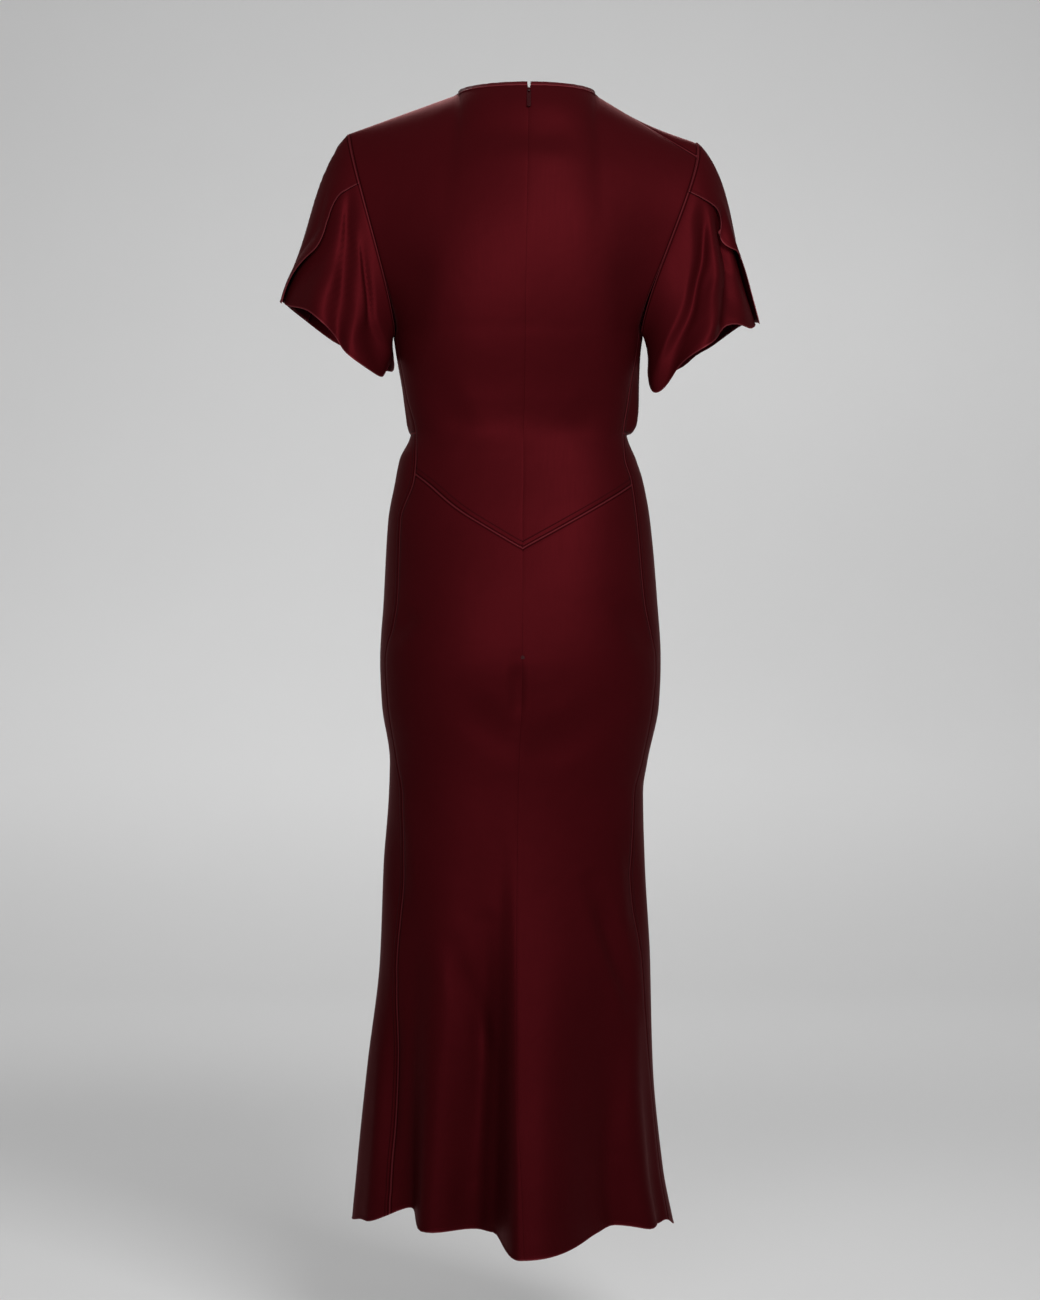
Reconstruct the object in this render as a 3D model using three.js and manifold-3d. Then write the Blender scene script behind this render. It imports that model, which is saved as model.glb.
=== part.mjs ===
// A short-sleeved satin maxi dress, hollow and in the shape that it hangs in when worn.
// Millimetres. +Z is up, +X is the wearer's right and +Y the wearer's front, so the back faces -Y.
// The origin is midway between the two neck points, at the height of the shoulders that carry it.
// Every cloth panel is a thin wall: a grid of outer points, the same grid moved in, and a rim.
import * as THREE from "three";
import { mergeVertices } from "three/addons/utils/BufferGeometryUtils.js";
import Module from "manifold-3d";

const { Manifold, Mesh: SolidMesh } = await startManifold();

async function startManifold() {
  const wasm = await Module();
  wasm.setup();
  return wasm;
}

// Driving sizes
const CLOTH = 1.5; // wall of the body panels
const SLEEVE_CLOTH = 1.2; // wall of the sleeve petals
const BINDING = { from: 0.55, to: 2.7, proud: 0.35 }; // the rolled binding that tops the neck edge
const TAPE = 0.7; // wall of the zip's tapes
const TAPE_WIDTH = 11;
const TAPE_START = 6.5; // from the neck edge down to the top of the tapes
const TAPE_END_ROW = 3; // the row of the skirt where the zip ends
const HEM_LIFT = 3; // how much further the front petal stands off the back petal at its hem
const SEAM = 0.3; // gap between two panels that are sewn together
const ARMHOLE_GAP = 0.6; // twice how far a sleeve stands off the edge that it is sewn to
const ZIP_OPENING = 3.4; // how far the two edges part at the neck, above the slider
const ROUNDNESS = 0.88; // 1 makes each section an ellipse, less squares it up
const CHEST_Z = -275; // bottom of the armholes
const WAIST_Z = -387; // waist seam at the sides and front
const HEM_Z = -1264; // hem, before the folds drop or lift it
const V_POINT_Z = -519; // lowest point of the pointed seam across the back
const V_LEFT_Z = -434; // its left end, at the side seam
const V_RIGHT_Z = -446; // its right end
const V_TURN = 0.96; // how far round its ends lie, in radians
const FRONT_SEAM_DEG = 122; // front edge of each side panel, round from the centre back

// Each row is a level section. left, right, back and front are how far the cloth reaches from the axis.
// The last three columns are where the seams of the back lie, across from the axis.
const SECTIONS = [
  { z: -200, left: 148, right: 146, back: 106, front: 116, seamLeft: -147, seamBack: 8, seamRight: 145 },
  { z: -275, left: 143, right: 139, back: 100, front: 118, seamLeft: -141, seamBack: 6, seamRight: 137 },
  { z: -347, left: 130, right: 126, back: 85, front: 100, seamLeft: -127, seamBack: 5, seamRight: 122 },
  { z: -387, left: 124, right: 121, back: 79, front: 86, seamLeft: -117, seamBack: 4, seamRight: 116 },
  { z: -415, left: 136, right: 131, back: 83, front: 88, seamLeft: -116, seamBack: 4, seamRight: 117 },
  { z: -440, left: 141, right: 139, back: 89, front: 90, seamLeft: -118, seamBack: 4, seamRight: 124 },
  { z: -485, left: 149, right: 147, back: 101, front: 94, seamLeft: -133, seamBack: 3, seamRight: 130 },
  { z: -575, left: 154, right: 155, back: 119, front: 98, seamLeft: -136, seamBack: 3, seamRight: 138 },
  { z: -640, left: 158, right: 159, back: 123, front: 99, seamLeft: -150, seamBack: 3, seamRight: 152 },
  { z: -690, left: 156, right: 157, back: 118, front: 99, seamLeft: -147, seamBack: 2, seamRight: 148 },
  { z: -755, left: 147, right: 144, back: 109, front: 99, seamLeft: -137, seamBack: -1, seamRight: 136 },
  { z: -790, left: 148, right: 139, back: 106, front: 100, seamLeft: -131, seamBack: -2, seamRight: 127 },
  { z: -870, left: 154, right: 141, back: 104, front: 104, seamLeft: -131, seamBack: -3, seamRight: 125 },
  { z: -980, left: 158, right: 147, back: 108, front: 112, seamLeft: -138, seamBack: -4, seamRight: 136 },
  { z: -1095, left: 171, right: 149, back: 113, front: 124, seamLeft: -144, seamBack: -3, seamRight: 145 },
  { z: -1205, left: 181, right: 158, back: 119, front: 136, seamLeft: -153, seamBack: 2, seamRight: 155 },
  { z: -1300, left: 187, right: 172, back: 122, front: 144, seamLeft: -158, seamBack: 4, seamRight: 168 },
];

// Each row is a fold of the skirt: where its crest meets the hem, round from the centre back, how far it
// stands out there, how wide each flank is, how far it drops the hem, and the height where it starts.
const SKIRT_FOLDS = [
  { deg: 0, out: 62, before: 7, after: 32, drop: 17, from: -800 },
  { deg: -14, out: -20, before: 14, after: 9, drop: 0, from: -840 },
  { deg: -28, out: 8, before: 10, after: 12, drop: 1, from: -900 },
  { deg: -47, out: -28, before: 18, after: 16, drop: -17, from: -850 },
  { deg: -84, out: 4, before: 14, after: 14, drop: 5, from: -900 },
  { deg: 38, out: -12, before: 12, after: 10, drop: -2, from: -860 },
  { deg: 54, out: 7, before: 10, after: 12, drop: 4, from: -930 },
  { deg: 69, out: -4, before: 10, after: 10, drop: 4, from: -930 },
  { deg: 88, out: 5, before: 16, after: 14, drop: 12, from: -1000 },
  { deg: 112, out: -22, before: 14, after: 14, drop: -6, from: -850 },
  { deg: 138, out: 26, before: 17, after: 17, drop: 6, from: -800 },
  { deg: 160, out: -14, before: 12, after: 12, drop: -4, from: -880 },
  { deg: 181, out: 30, before: 18, after: 16, drop: 6, from: -820 },
  { deg: 203, out: -16, before: 12, after: 14, drop: -4, from: -880 },
  { deg: 226, out: 24, before: 16, after: 16, drop: 5, from: -800 },
  { deg: 250, out: -20, before: 14, after: 14, drop: -5, from: -850 },
];

// How far the front bodice blouses out over the waist seam, and its soft gathers there.
const BLOUSE = { right: 9, left: 1, middle: 9, gather: 2.2, gathers: 16 };

// The neck edge and the shoulder seams
const vec = (x, y, z) => new THREE.Vector3(x, y, z);
const NECK_BACK = vec(10, -52, 0.5);
const NECK_FRONT = vec(8, 73, -64);

// One row for each side. neck and tip are the ends of the shoulder seam. leave says how far out the sleeve
// sets off at the tip. The other points steer the curves that run up from the chest: three across the upper
// back and three across the upper front.
const SHOULDERS = {
  left: {
    side: -1,
    neck: vec(-69, -4, -2),
    tip: vec(-194, 3, -46),
    leave: 0.68,
    overBack: [vec(10, -100, -60), vec(-69, -84, -36), vec(-187, -54, -98)],
    overFront: [vec(8, 107, -108), vec(-74, 58, -40), vec(-186, 62, -90)],
  },
  right: {
    side: 1,
    neck: vec(84, -7, -3),
    tip: vec(200, -18, -76),
    leave: 0.85,
    overBack: [vec(10, -100, -60), vec(86, -84, -42), vec(191, -60, -130)],
    overFront: [vec(8, 107, -108), vec(86, 54, -38), vec(208, 36, 14)],
  },
};
const CENTRE_BACK_UP = vec(0, -10, 95);
const CENTRE_FRONT_UP = vec(0, 16, 60);
const ARMHOLE = { back: [-4, -34, 40], front: [-2, 62, 40] }; // outwards, forwards and up from the underarm

// Each row is a point of a sleeve's hem, from under the arm round the back to the front.
const SLEEVE_HEMS = {
  left: [
    { x: -143, y: -4, z: -304 },
    { x: -150, y: -42, z: -325 },
    { x: -188, y: -72, z: -305 },
    { x: -206, y: -68, z: -281 },
    { x: -232, y: -56, z: -255 },
    { x: -262, y: -20, z: -243 },
    { x: -266, y: 6, z: -236 },
    { x: -252, y: 46, z: -246 },
    { x: -212, y: 70, z: -276 },
    { x: -170, y: 58, z: -304 },
    { x: -147, y: 30, z: -312 },
  ],
  right: [
    { x: 145, y: -4, z: -308 },
    { x: 148, y: -43, z: -343 },
    { x: 174, y: -66, z: -316 },
    { x: 212, y: -66, z: -290 },
    { x: 238, y: -46, z: -267 },
    { x: 259, y: -22, z: -269 },
    { x: 266, y: 6, z: -261 },
    { x: 252, y: 46, z: -258 },
    { x: 214, y: 70, z: -284 },
    { x: 172, y: 58, z: -312 },
    { x: 149, y: 30, z: -322 },
  ],
};

// Each row is a fold of a sleeve, placed by its share of the way round from under the arm.
const SLEEVE_FOLDS = {
  left: [
    { at: 0.3, out: -9, wide: 0.07 },
    { at: 0.37, out: 8, wide: 0.07 },
    { at: 0.16, out: -7, wide: 0.06 },
    { at: 0.7, out: -8, wide: 0.08 },
    { at: 0.8, out: 7, wide: 0.08 },
  ],
  right: [
    { at: 0.29, out: -8, wide: 0.06 },
    { at: 0.22, out: 6, wide: 0.06 },
    { at: 0.42, out: -12, wide: 0.06 },
    { at: 0.7, out: -8, wide: 0.08 },
    { at: 0.8, out: 7, wide: 0.08 },
  ],
};

// Counts of grid cells
const BACK_COLUMNS = 16; // from the centre back to a side
const NECK_COLUMNS = 7; // of those, the ones that end at the neck edge
const SHOULDER_COLUMNS = BACK_COLUMNS - NECK_COLUMNS;
const SIDE_COLUMNS = 6;
const FRONT_COLUMNS = 20;
const ARMHOLE_ROWS = 10; // from the underarm to the shoulder seam
const WAIST_ROWS = 2; // from the end of the pointed seam to the waist
const CHEST_ROWS = 5; // from the waist to the underarm
const SKIRT_ROWS = 20;
const SLEEVE_ROWS = 10;
const OVERLAP = [7, 13]; // the armhole points between which the front petal lies on the back petal

const OVERLAP_HEM = [0.53, 0.66]; // and the shares of the hem between which it does
const ARM_X = 205; // how far across the middle of each sleeve's hem lies

const RAD = Math.PI / 180;
const mix = (a, b, t) => a + (b - a) * t;
const ease = (t) => t * t * (3 - 2 * t);
const clamp = (t) => Math.min(1, Math.max(0, t));

// A smooth curve through one column of the sections that never overshoots a row.
function slopeAt(k, key) {
  if (k === 0 || k === SECTIONS.length - 1) return 0;
  const [a, b, c] = [SECTIONS[k - 1], SECTIONS[k], SECTIONS[k + 1]];
  const before = (b[key] - a[key]) / (b.z - a.z);
  const after = (c[key] - b[key]) / (c.z - b.z);
  return before * after <= 0 ? 0 : (2 * before * after) / (before + after);
}

function sectionAt(z, key) {
  const height = Math.min(SECTIONS[0].z, Math.max(SECTIONS.at(-1).z, z));
  let k = 0;
  while (k < SECTIONS.length - 2 && SECTIONS[k + 1].z > height) k += 1;
  const [a, b] = [SECTIONS[k], SECTIONS[k + 1]];
  const step = b.z - a.z;
  const t = (height - a.z) / step;
  const keep = 2 * t ** 3 - 3 * t ** 2 + 1;
  const lean = (t ** 3 - 2 * t ** 2 + t) * step * slopeAt(k, key);
  const leanEnd = (t ** 3 - t ** 2) * step * slopeAt(k + 1, key);
  return keep * a[key] + (1 - keep) * b[key] + lean + leanEnd;
}

const squared = (v) => Math.sign(v) * Math.abs(v) ** ROUNDNESS;

// The point of the body at an angle round from the centre back and a height.
function bodyPoint(turn, z) {
  const across = squared(Math.sin(turn));
  const forward = -squared(Math.cos(turn));
  const x = across * sectionAt(z, across < 0 ? "left" : "right");
  const y = forward * sectionAt(z, forward < 0 ? "back" : "front");
  return vec(x, y, z);
}

const outwards = (turn) => vec(Math.sin(turn), -Math.cos(turn), 0);

// The angle at which a seam of the back lies, at a height.
function seamTurn(key, z) {
  const x = sectionAt(z, key);
  const reach = sectionAt(z, x < 0 ? "left" : "right");
  return Math.sign(x) * Math.asin(Math.min(1, Math.abs(x) / reach) ** (1 / ROUNDNESS));
}

function foldShare(offDeg, fold) {
  const wide = offDeg < 0 ? fold.before : fold.after;
  const t = Math.abs(offDeg) / wide;
  return t < 1 ? Math.cos((t * Math.PI) / 2) ** 2 : 0;
}

// The point of the skirt at an angle and a height, with its folds.
function skirtPoint(turn, z) {
  const point = bodyPoint(turn, z);
  const away = outwards(turn);
  for (const fold of SKIRT_FOLDS) {
    const depth = clamp((fold.from - z) / (fold.from - HEM_Z)) ** 1.6;
    const off = ((turn / RAD - fold.deg + 540) % 360) - 180;
    const share = depth * foldShare(off, fold);
    point.addScaledVector(away, fold.out * share);
    point.z -= fold.drop * share;
  }
  return point;
}

// The front bodice is fuller than the waist that it is gathered to, so it blouses over the seam.
function bloused(turn, z) {
  const point = bodyPoint(turn, z);
  const rise = clamp((z - WAIST_Z) / (CHEST_Z - 15 - WAIST_Z));
  const full = Math.sin(Math.PI * rise ** 0.45);
  const fromRight = turn - seamTurn("seamRight", z);
  const fromLeft = 2 * Math.PI + seamTurn("seamLeft", z) - turn;
  const right = BLOUSE.right * ease(clamp(fromRight / 0.3)) * ease(clamp(1.7 - turn / 2));
  const left = BLOUSE.left * ease(clamp(fromLeft / 0.25));
  const middle = BLOUSE.middle * Math.sin(clamp(fromRight / (fromRight + fromLeft)) * Math.PI) ** 2;
  const edge = ease(clamp(Math.min(fromRight, fromLeft) / 0.35));
  const gathers = BLOUSE.gather * edge * Math.cos(turn * BLOUSE.gathers) * (1 - rise) ** 2 * clamp(rise * 8);
  const out = full * (Math.max(right, left) + middle) + gathers;
  return point.addScaledVector(outwards(turn), out);
}

const bezier = (a, b, c, d, t) => new THREE.CubicBezierCurve3(a, b, c, d).getPoint(t);

// The point of the back neck edge, from the centre back at 0 to the neck point of a side at 1.
function backNeck(side, share) {
  const a = (share * Math.PI) / 2;
  const x = mix(NECK_BACK.x, side.neck.x, Math.sin(a));
  const y = mix(side.neck.y, NECK_BACK.y, Math.cos(a));
  return vec(x, y, mix(NECK_BACK.z, side.neck.z, share ** 2));
}

// The point of the front neck edge, from the right neck point at 0 to the left one at 1.
function frontNeck(share) {
  const side = share < 0.5 ? SHOULDERS.right : SHOULDERS.left;
  const a = share * Math.PI;
  const x = mix(NECK_FRONT.x, side.neck.x, Math.abs(Math.cos(a)));
  const y = mix(side.neck.y, NECK_FRONT.y, Math.sin(a));
  return vec(x, y, mix(side.neck.z, NECK_FRONT.z, Math.sin(a) ** 1.5));
}

// A smooth curve through three points, the middle one at a given share of the way.
function through([a, b, c], middle, share) {
  const atA = ((share - middle) * (share - 1)) / middle;
  const atB = (share * (share - 1)) / (middle * (middle - 1));
  const atC = (share * (share - middle)) / (1 - middle);
  return vec(0, 0, 0).addScaledVector(a, atA).addScaledVector(b, atB).addScaledVector(c, atC);
}

const flare = (turn) => bodyPoint(turn, CHEST_Z + 1).sub(bodyPoint(turn, CHEST_Z));

// A curve of the back from the chest to its top edge. share runs from the centre back to the armhole.
function backCurve(side, share, t) {
  const neckShare = NECK_COLUMNS / BACK_COLUMNS;
  const key = side.side < 0 ? "seamLeft" : "seamRight";
  const turn = mix(seamTurn("seamBack", CHEST_Z), seamTurn(key, CHEST_Z), share);
  const bottom = bodyPoint(turn, CHEST_Z);
  const top =
    share < neckShare
      ? backNeck(side, share / neckShare)
      : side.neck.clone().lerp(side.tip, (share - neckShare) / (1 - neckShare));
  const [out, forward, up] = ARMHOLE.back;
  const armhole = vec(out * side.side, forward, up);
  const first = flare(turn).multiplyScalar(mix(CENTRE_BACK_UP.z, up, share)).setZ(0);
  first.add(CENTRE_BACK_UP.clone().lerp(armhole, share ** 3));
  const last = through(side.overBack, neckShare, share);
  return bezier(bottom, bottom.clone().add(first), last, top, t);
}

// A curve of the front from the chest to its top edge. column counts from the right armhole to the left.
const FRONT_TOTAL = FRONT_COLUMNS + 2 * SIDE_COLUMNS;

function frontShare(column) {
  const z = WAIST_Z;
  const from = seamTurn("seamRight", z);
  const to = 2 * Math.PI + seamTurn("seamLeft", z);
  const seams = [FRONT_SEAM_DEG * RAD, (360 - FRONT_SEAM_DEG) * RAD];
  const last = FRONT_TOTAL - SIDE_COLUMNS;
  let turn;
  if (column <= SIDE_COLUMNS) turn = mix(from, seams[0], column / SIDE_COLUMNS);
  else if (column <= last) turn = mix(seams[0], seams[1], (column - SIDE_COLUMNS) / FRONT_COLUMNS);
  else turn = mix(seams[1], to, (column - last) / SIDE_COLUMNS);
  return (turn - from) / (to - from);
}

function frontTurn(column, z) {
  const share = frontShare(column);
  return mix(seamTurn("seamRight", z), 2 * Math.PI + seamTurn("seamLeft", z), share);
}

function frontCurve(column, t) {
  const side = column <= FRONT_TOTAL / 2 ? SHOULDERS.right : SHOULDERS.left;
  const fromArmhole = Math.min(column, FRONT_TOTAL - column);
  const neckAt = SHOULDER_COLUMNS;
  const turn = frontTurn(column, CHEST_Z);
  const bottom = bloused(turn, CHEST_Z);
  const neckShare = (column - neckAt) / (FRONT_TOTAL - 2 * neckAt);
  const top =
    fromArmhole < neckAt ? side.tip.clone().lerp(side.neck, fromArmhole / neckAt) : frontNeck(neckShare);
  const share = 1 - fromArmhole / (FRONT_TOTAL / 2);
  const [out, forward, up] = ARMHOLE.front;
  const first = CENTRE_FRONT_UP.clone().lerp(vec(out * side.side, forward, up), share ** 3);
  const last = through(side.overFront, 1 - neckAt / (FRONT_TOTAL / 2), share);
  return bezier(bottom, bottom.clone().add(first), last, top, t);
}

// The heights of the rows down the centre back and down a side seam, so that sewn edges share points.
function bodiceRows(side) {
  const end = side.side < 0 ? V_LEFT_Z : V_RIGHT_Z;
  const rows = [];
  for (let k = 0; k <= CHEST_ROWS; k += 1) rows.push(mix(CHEST_Z, WAIST_Z, k / CHEST_ROWS));
  for (let k = 1; k <= WAIST_ROWS; k += 1) rows.push(mix(WAIST_Z, end, k / WAIST_ROWS));
  return rows;
}

const hemRows = (top) =>
  Array.from({ length: SKIRT_ROWS + 1 }, (_, k) => mix(top, HEM_Z, (k / SKIRT_ROWS) ** 0.96));

// How far across from the centre back a share of the turn lies, so that the pointed seam runs straight.
const across = (share) => squared(Math.sin(share * V_TURN)) / squared(Math.sin(V_TURN));

// Grids of outer points. Rows run down and columns run from -X round the back to +X, or onwards.
function backBodice(side) {
  const key = side.side < 0 ? "seamLeft" : "seamRight";
  const lower = bodiceRows(side);
  const rows = [];
  for (let k = 0; k < ARMHOLE_ROWS; k += 1) {
    const t = 1 - k / ARMHOLE_ROWS;
    rows.push((share) => backCurve(side, share, t));
  }
  lower.forEach((sideZ, k) => {
    const centreZ = mix(CHEST_Z, V_POINT_Z, k / (lower.length - 1));
    rows.push((share) => {
      const z = mix(centreZ, sideZ, across(share));
      return bodyPoint(mix(seamTurn("seamBack", z), seamTurn(key, z), share), z);
    });
  });
  return rows.map((row) => acrossBack(side, row));
}

function acrossBack(side, row) {
  const cells = Array.from({ length: BACK_COLUMNS + 1 }, (_, c) => row(c / BACK_COLUMNS));
  return side.side < 0 ? cells.reverse() : cells;
}

function backSkirt(side) {
  const key = side.side < 0 ? "seamLeft" : "seamRight";
  const centre = hemRows(V_POINT_Z);
  const edge = hemRows(side.side < 0 ? V_LEFT_Z : V_RIGHT_Z);
  const crowd = side.side < 0 ? 0.45 : 0;
  return centre.map((centreZ, k) =>
    acrossBack(side, (evenShare) => {
      const share = evenShare ** (1 + (crowd * k) / SKIRT_ROWS);
      const z = mix(centreZ, edge[k], across(share));
      return skirtPoint(mix(seamTurn("seamBack", z), seamTurn(key, z), share), z);
    }),
  );
}

function sideRows(side) {
  const end = side.side < 0 ? V_LEFT_Z : V_RIGHT_Z;
  return [...bodiceRows(side).slice(CHEST_ROWS, -1), ...hemRows(end)];
}

function sideSkirt(side) {
  return sideRows(side).map((z) => {
    const seam = FRONT_SEAM_DEG * RAD;
    const [from, to] = side.side < 0 ? [-seam, seamTurn("seamLeft", z)] : [seamTurn("seamRight", z), seam];
    return Array.from({ length: SIDE_COLUMNS + 1 }, (_, c) => skirtPoint(mix(from, to, c / SIDE_COLUMNS), z));
  });
}

// The two side panels end their pointed seams at different heights, so the front's rows lean between them.
function frontSkirt() {
  const right = sideRows(SHOULDERS.right);
  const left = sideRows(SHOULDERS.left);
  const [from, to] = [FRONT_SEAM_DEG * RAD, (360 - FRONT_SEAM_DEG) * RAD];
  return right.map((z, k) =>
    Array.from({ length: FRONT_COLUMNS + 1 }, (_, c) => {
      const share = c / FRONT_COLUMNS;
      return skirtPoint(mix(from, to, share), mix(z, left[k], share));
    }),
  );
}

function frontBodice() {
  const columns = Array.from({ length: FRONT_TOTAL + 1 }, (_, c) => c);
  const upper = Array.from({ length: ARMHOLE_ROWS }, (_, k) =>
    columns.map((c) => frontCurve(c, 1 - k / ARMHOLE_ROWS)),
  );
  const lower = Array.from({ length: CHEST_ROWS + 1 }, (_, k) => {
    const z = mix(CHEST_Z, WAIST_Z, k / CHEST_ROWS);
    return columns.map((c) => bloused(frontTurn(c, z), z));
  });
  return [...upper, ...lower];
}

// The armhole of a side: from the underarm up the back to the tip, then down the front.
function armhole(side) {
  const points = [];
  const frontColumn = side.side < 0 ? FRONT_TOTAL : 0;
  for (let k = 0; k <= ARMHOLE_ROWS; k += 1) points.push(backCurve(side, 1, k / ARMHOLE_ROWS));
  for (let k = ARMHOLE_ROWS - 1; k >= 0; k -= 1) points.push(frontCurve(frontColumn, k / ARMHOLE_ROWS));
  return points;
}

// The share of the hem that lies under each point of the armhole: the free edge of the front petal
// leaves the armhole on the back and meets the hem at the outer side.
function hemShare(k) {
  const [first, last] = OVERLAP;
  const end = 2 * ARMHOLE_ROWS;
  const [firstHem, lastHem] = OVERLAP_HEM;
  if (k <= first) return mix(0, firstHem, (k / first) ** 0.85);
  if (k <= last) return mix(firstHem, lastHem, (k - first) / (last - first));
  return mix(lastHem, 1, (k - last) / (end - last));
}

// The whole sleeve as one surface, a column for each point of the armhole.
function sleeveGrid(name) {
  const side = SHOULDERS[name];
  const hem = new THREE.CatmullRomCurve3(
    SLEEVE_HEMS[name].map((p) => vec(p.x, p.y, p.z)),
    true,
  );
  const top = armhole(side);
  const columns = top.map((start, k) => {
    const round = k / (2 * ARMHOLE_ROWS);
    const share = hemShare(k);
    const end = hem.getPoint(share % 1);
    const over = Math.sin(round * Math.PI);
    const depth = -Math.sin(round * 2 * Math.PI);
    const length = start.distanceTo(end);
    const leave = vec(side.side * mix(0.45, side.leave, over), 0.3 * depth, mix(-0.9, -0.8, over)).normalize();
    const first = start.clone().addScaledVector(leave, length * 0.3);
    const hang = vec(side.side * -0.3 * over, 0, 1).normalize();
    const last = end.clone().addScaledVector(hang, length * 0.34);
    return Array.from({ length: SLEEVE_ROWS + 1 }, (_, r) => {
      const t = r / SLEEVE_ROWS;
      const point = bezier(start, first, last, end, t);
      const centre = vec(side.side * ARM_X, 0, point.z);
      const away = point.clone().sub(centre).setZ(0).normalize();
      for (const fold of SLEEVE_FOLDS[name]) {
        const off = Math.abs(share - fold.at) / fold.wide;
        const depthShare = off < 1 ? Math.cos((off * Math.PI) / 2) ** 2 : 0;
        point.addScaledVector(away, fold.out * depthShare * ease(clamp(t * 1.3 - 0.1)));
      }
      return point;
    });
  });
  const rows = columns[0].map((_, r) => columns.map((column) => column[r]));
  return side.side < 0 ? rows.map((row) => row.reverse()) : rows;
}

// Sewing: normals are shared where panels meet, so that their walls meet on one plane.
const keyOf = (p) => [p.x, p.y, p.z].map((v) => Math.round(v * 100)).join();
const sewnNormals = new Map();

function gridNormals(grid) {
  const rows = grid.length - 1;
  const columns = grid[0].length - 1;
  return grid.map((row, r) =>
    row.map((_, c) => {
      const down = grid[Math.min(rows, r + 1)][c].clone().sub(grid[Math.max(0, r - 1)][c]);
      const along = row[Math.min(columns, c + 1)].clone().sub(row[Math.max(0, c - 1)]);
      return down.cross(along).normalize();
    }),
  );
}

function sew(grid) {
  const normals = gridNormals(grid);
  grid.forEach((row, r) =>
    row.forEach((point, c) => {
      const key = keyOf(point);
      if (!sewnNormals.has(key)) sewnNormals.set(key, vec(0, 0, 0));
      sewnNormals.get(key).add(normals[r][c]);
    }),
  );
  return grid;
}

const sewnNormal = (point) => sewnNormals.get(keyOf(point)).clone().normalize();

// The step that opens half a seam's gap at the edge of a grid.
function gapStep(grid, r, c, rowGap, gap) {
  const step = vec(0, 0, 0);
  const rows = grid.length - 1;
  const columns = grid[0].length - 1;
  const towards = (row, column, far) => grid[row][column].clone().sub(grid[r][c]).setLength(far / 2);
  if (r === 0) step.add(towards(1, c, rowGap));
  if (r === rows) step.add(towards(rows - 1, c, rowGap));
  if (c === 0) step.add(towards(r, 1, gap));
  if (c === columns) step.add(towards(r, columns - 1, gap));
  return step;
}

// A closed wall between a grid of outer points and the same grid moved in. Each cell of the rim is split
// from its lower outer point, so that two rims that face each other are split alike.
function wallGeometry(outer, inner) {
  const rows = outer.length;
  const columns = outer[0].length;
  const points = [...outer.flat(), ...inner.flat()];
  const inside = rows * columns;
  const at = (r, c) => r * columns + c;
  const faces = [];
  const quad = (a, b, c, d) => faces.push(a, b, c, a, c, d);
  const rim = (a, b) => {
    if (points[a].z < points[b].z) quad(a, b, inside + b, inside + a);
    else quad(b, inside + b, inside + a, a);
  };
  for (let r = 0; r < rows - 1; r += 1)
    for (let c = 0; c < columns - 1; c += 1) {
      const [p, q, s, t] = [at(r, c), at(r + 1, c), at(r + 1, c + 1), at(r, c + 1)];
      quad(p, q, s, t);
      quad(inside + p, inside + t, inside + s, inside + q);
    }
  for (let c = 0; c < columns - 1; c += 1) {
    rim(at(0, c), at(0, c + 1));
    rim(at(rows - 1, c + 1), at(rows - 1, c));
  }
  for (let r = 0; r < rows - 1; r += 1) {
    rim(at(r + 1, 0), at(r, 0));
    rim(at(r, columns - 1), at(r + 1, columns - 1));
  }
  const geometry = new THREE.BufferGeometry();
  const positions = points.flatMap((p) => [p.x, p.y, p.z]);
  geometry.setAttribute("position", new THREE.Float32BufferAttribute(positions, 3));
  geometry.setIndex(faces);
  return geometry;
}

// A panel's wall. moved is how far out it lies from the grid, as a number for each point.
function clothWall(grid, thickness, moved = () => 0, gap = SEAM, gapAt = () => gap) {
  const outer = grid.map((row, r) =>
    row.map((point, c) => {
      const step = gapStep(grid, r, c, gap, gapAt(point));
      return point.clone().add(step).addScaledVector(sewnNormal(point), moved(r, c));
    }),
  );
  const inner = outer.map((row, r) =>
    row.map((point, c) => point.clone().addScaledVector(sewnNormal(grid[r][c]), -thickness)),
  );
  return wallGeometry(outer, inner);
}

const SATIN = new THREE.MeshStandardMaterial({ color: 0x43090f, roughness: 0.42, metalness: 0 });
const TAPE_CLOTH = new THREE.MeshStandardMaterial({ color: 0x36090e, roughness: 0.8, metalness: 0 });
const METAL = new THREE.MeshStandardMaterial({ color: 0x3a1015, roughness: 0.35, metalness: 0.6 });
const dress = new THREE.Group();

function add(name, geometry, material = SATIN) {
  const mesh = new THREE.Mesh(geometry, material.clone());
  mesh.name = name;
  dress.add(mesh);
}

// Body panels
const { left, right } = SHOULDERS;
const panels = {
  bodice_back_left: backBodice(left),
  bodice_back_right: backBodice(right),
  bodice_front: frontBodice(),
  skirt_back_left: backSkirt(left),
  skirt_back_right: backSkirt(right),
  skirt_side_left: sideSkirt(left),
  skirt_side_right: sideSkirt(right),
  skirt_front: frontSkirt(),
};
const sleeves = { left: sleeveGrid("left"), right: sleeveGrid("right") };
Object.values(panels).forEach(sew);
Object.values(sleeves).forEach(sew);

// The edges at the centre back part above the zip's slider, most at the neck.
const zipGap = (p) => (p.distanceTo(NECK_BACK) < 1 ? ZIP_OPENING : SEAM);
for (const [name, grid] of Object.entries(panels)) {
  add(name, clothWall(grid, CLOTH, undefined, SEAM, zipGap));
}

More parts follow.
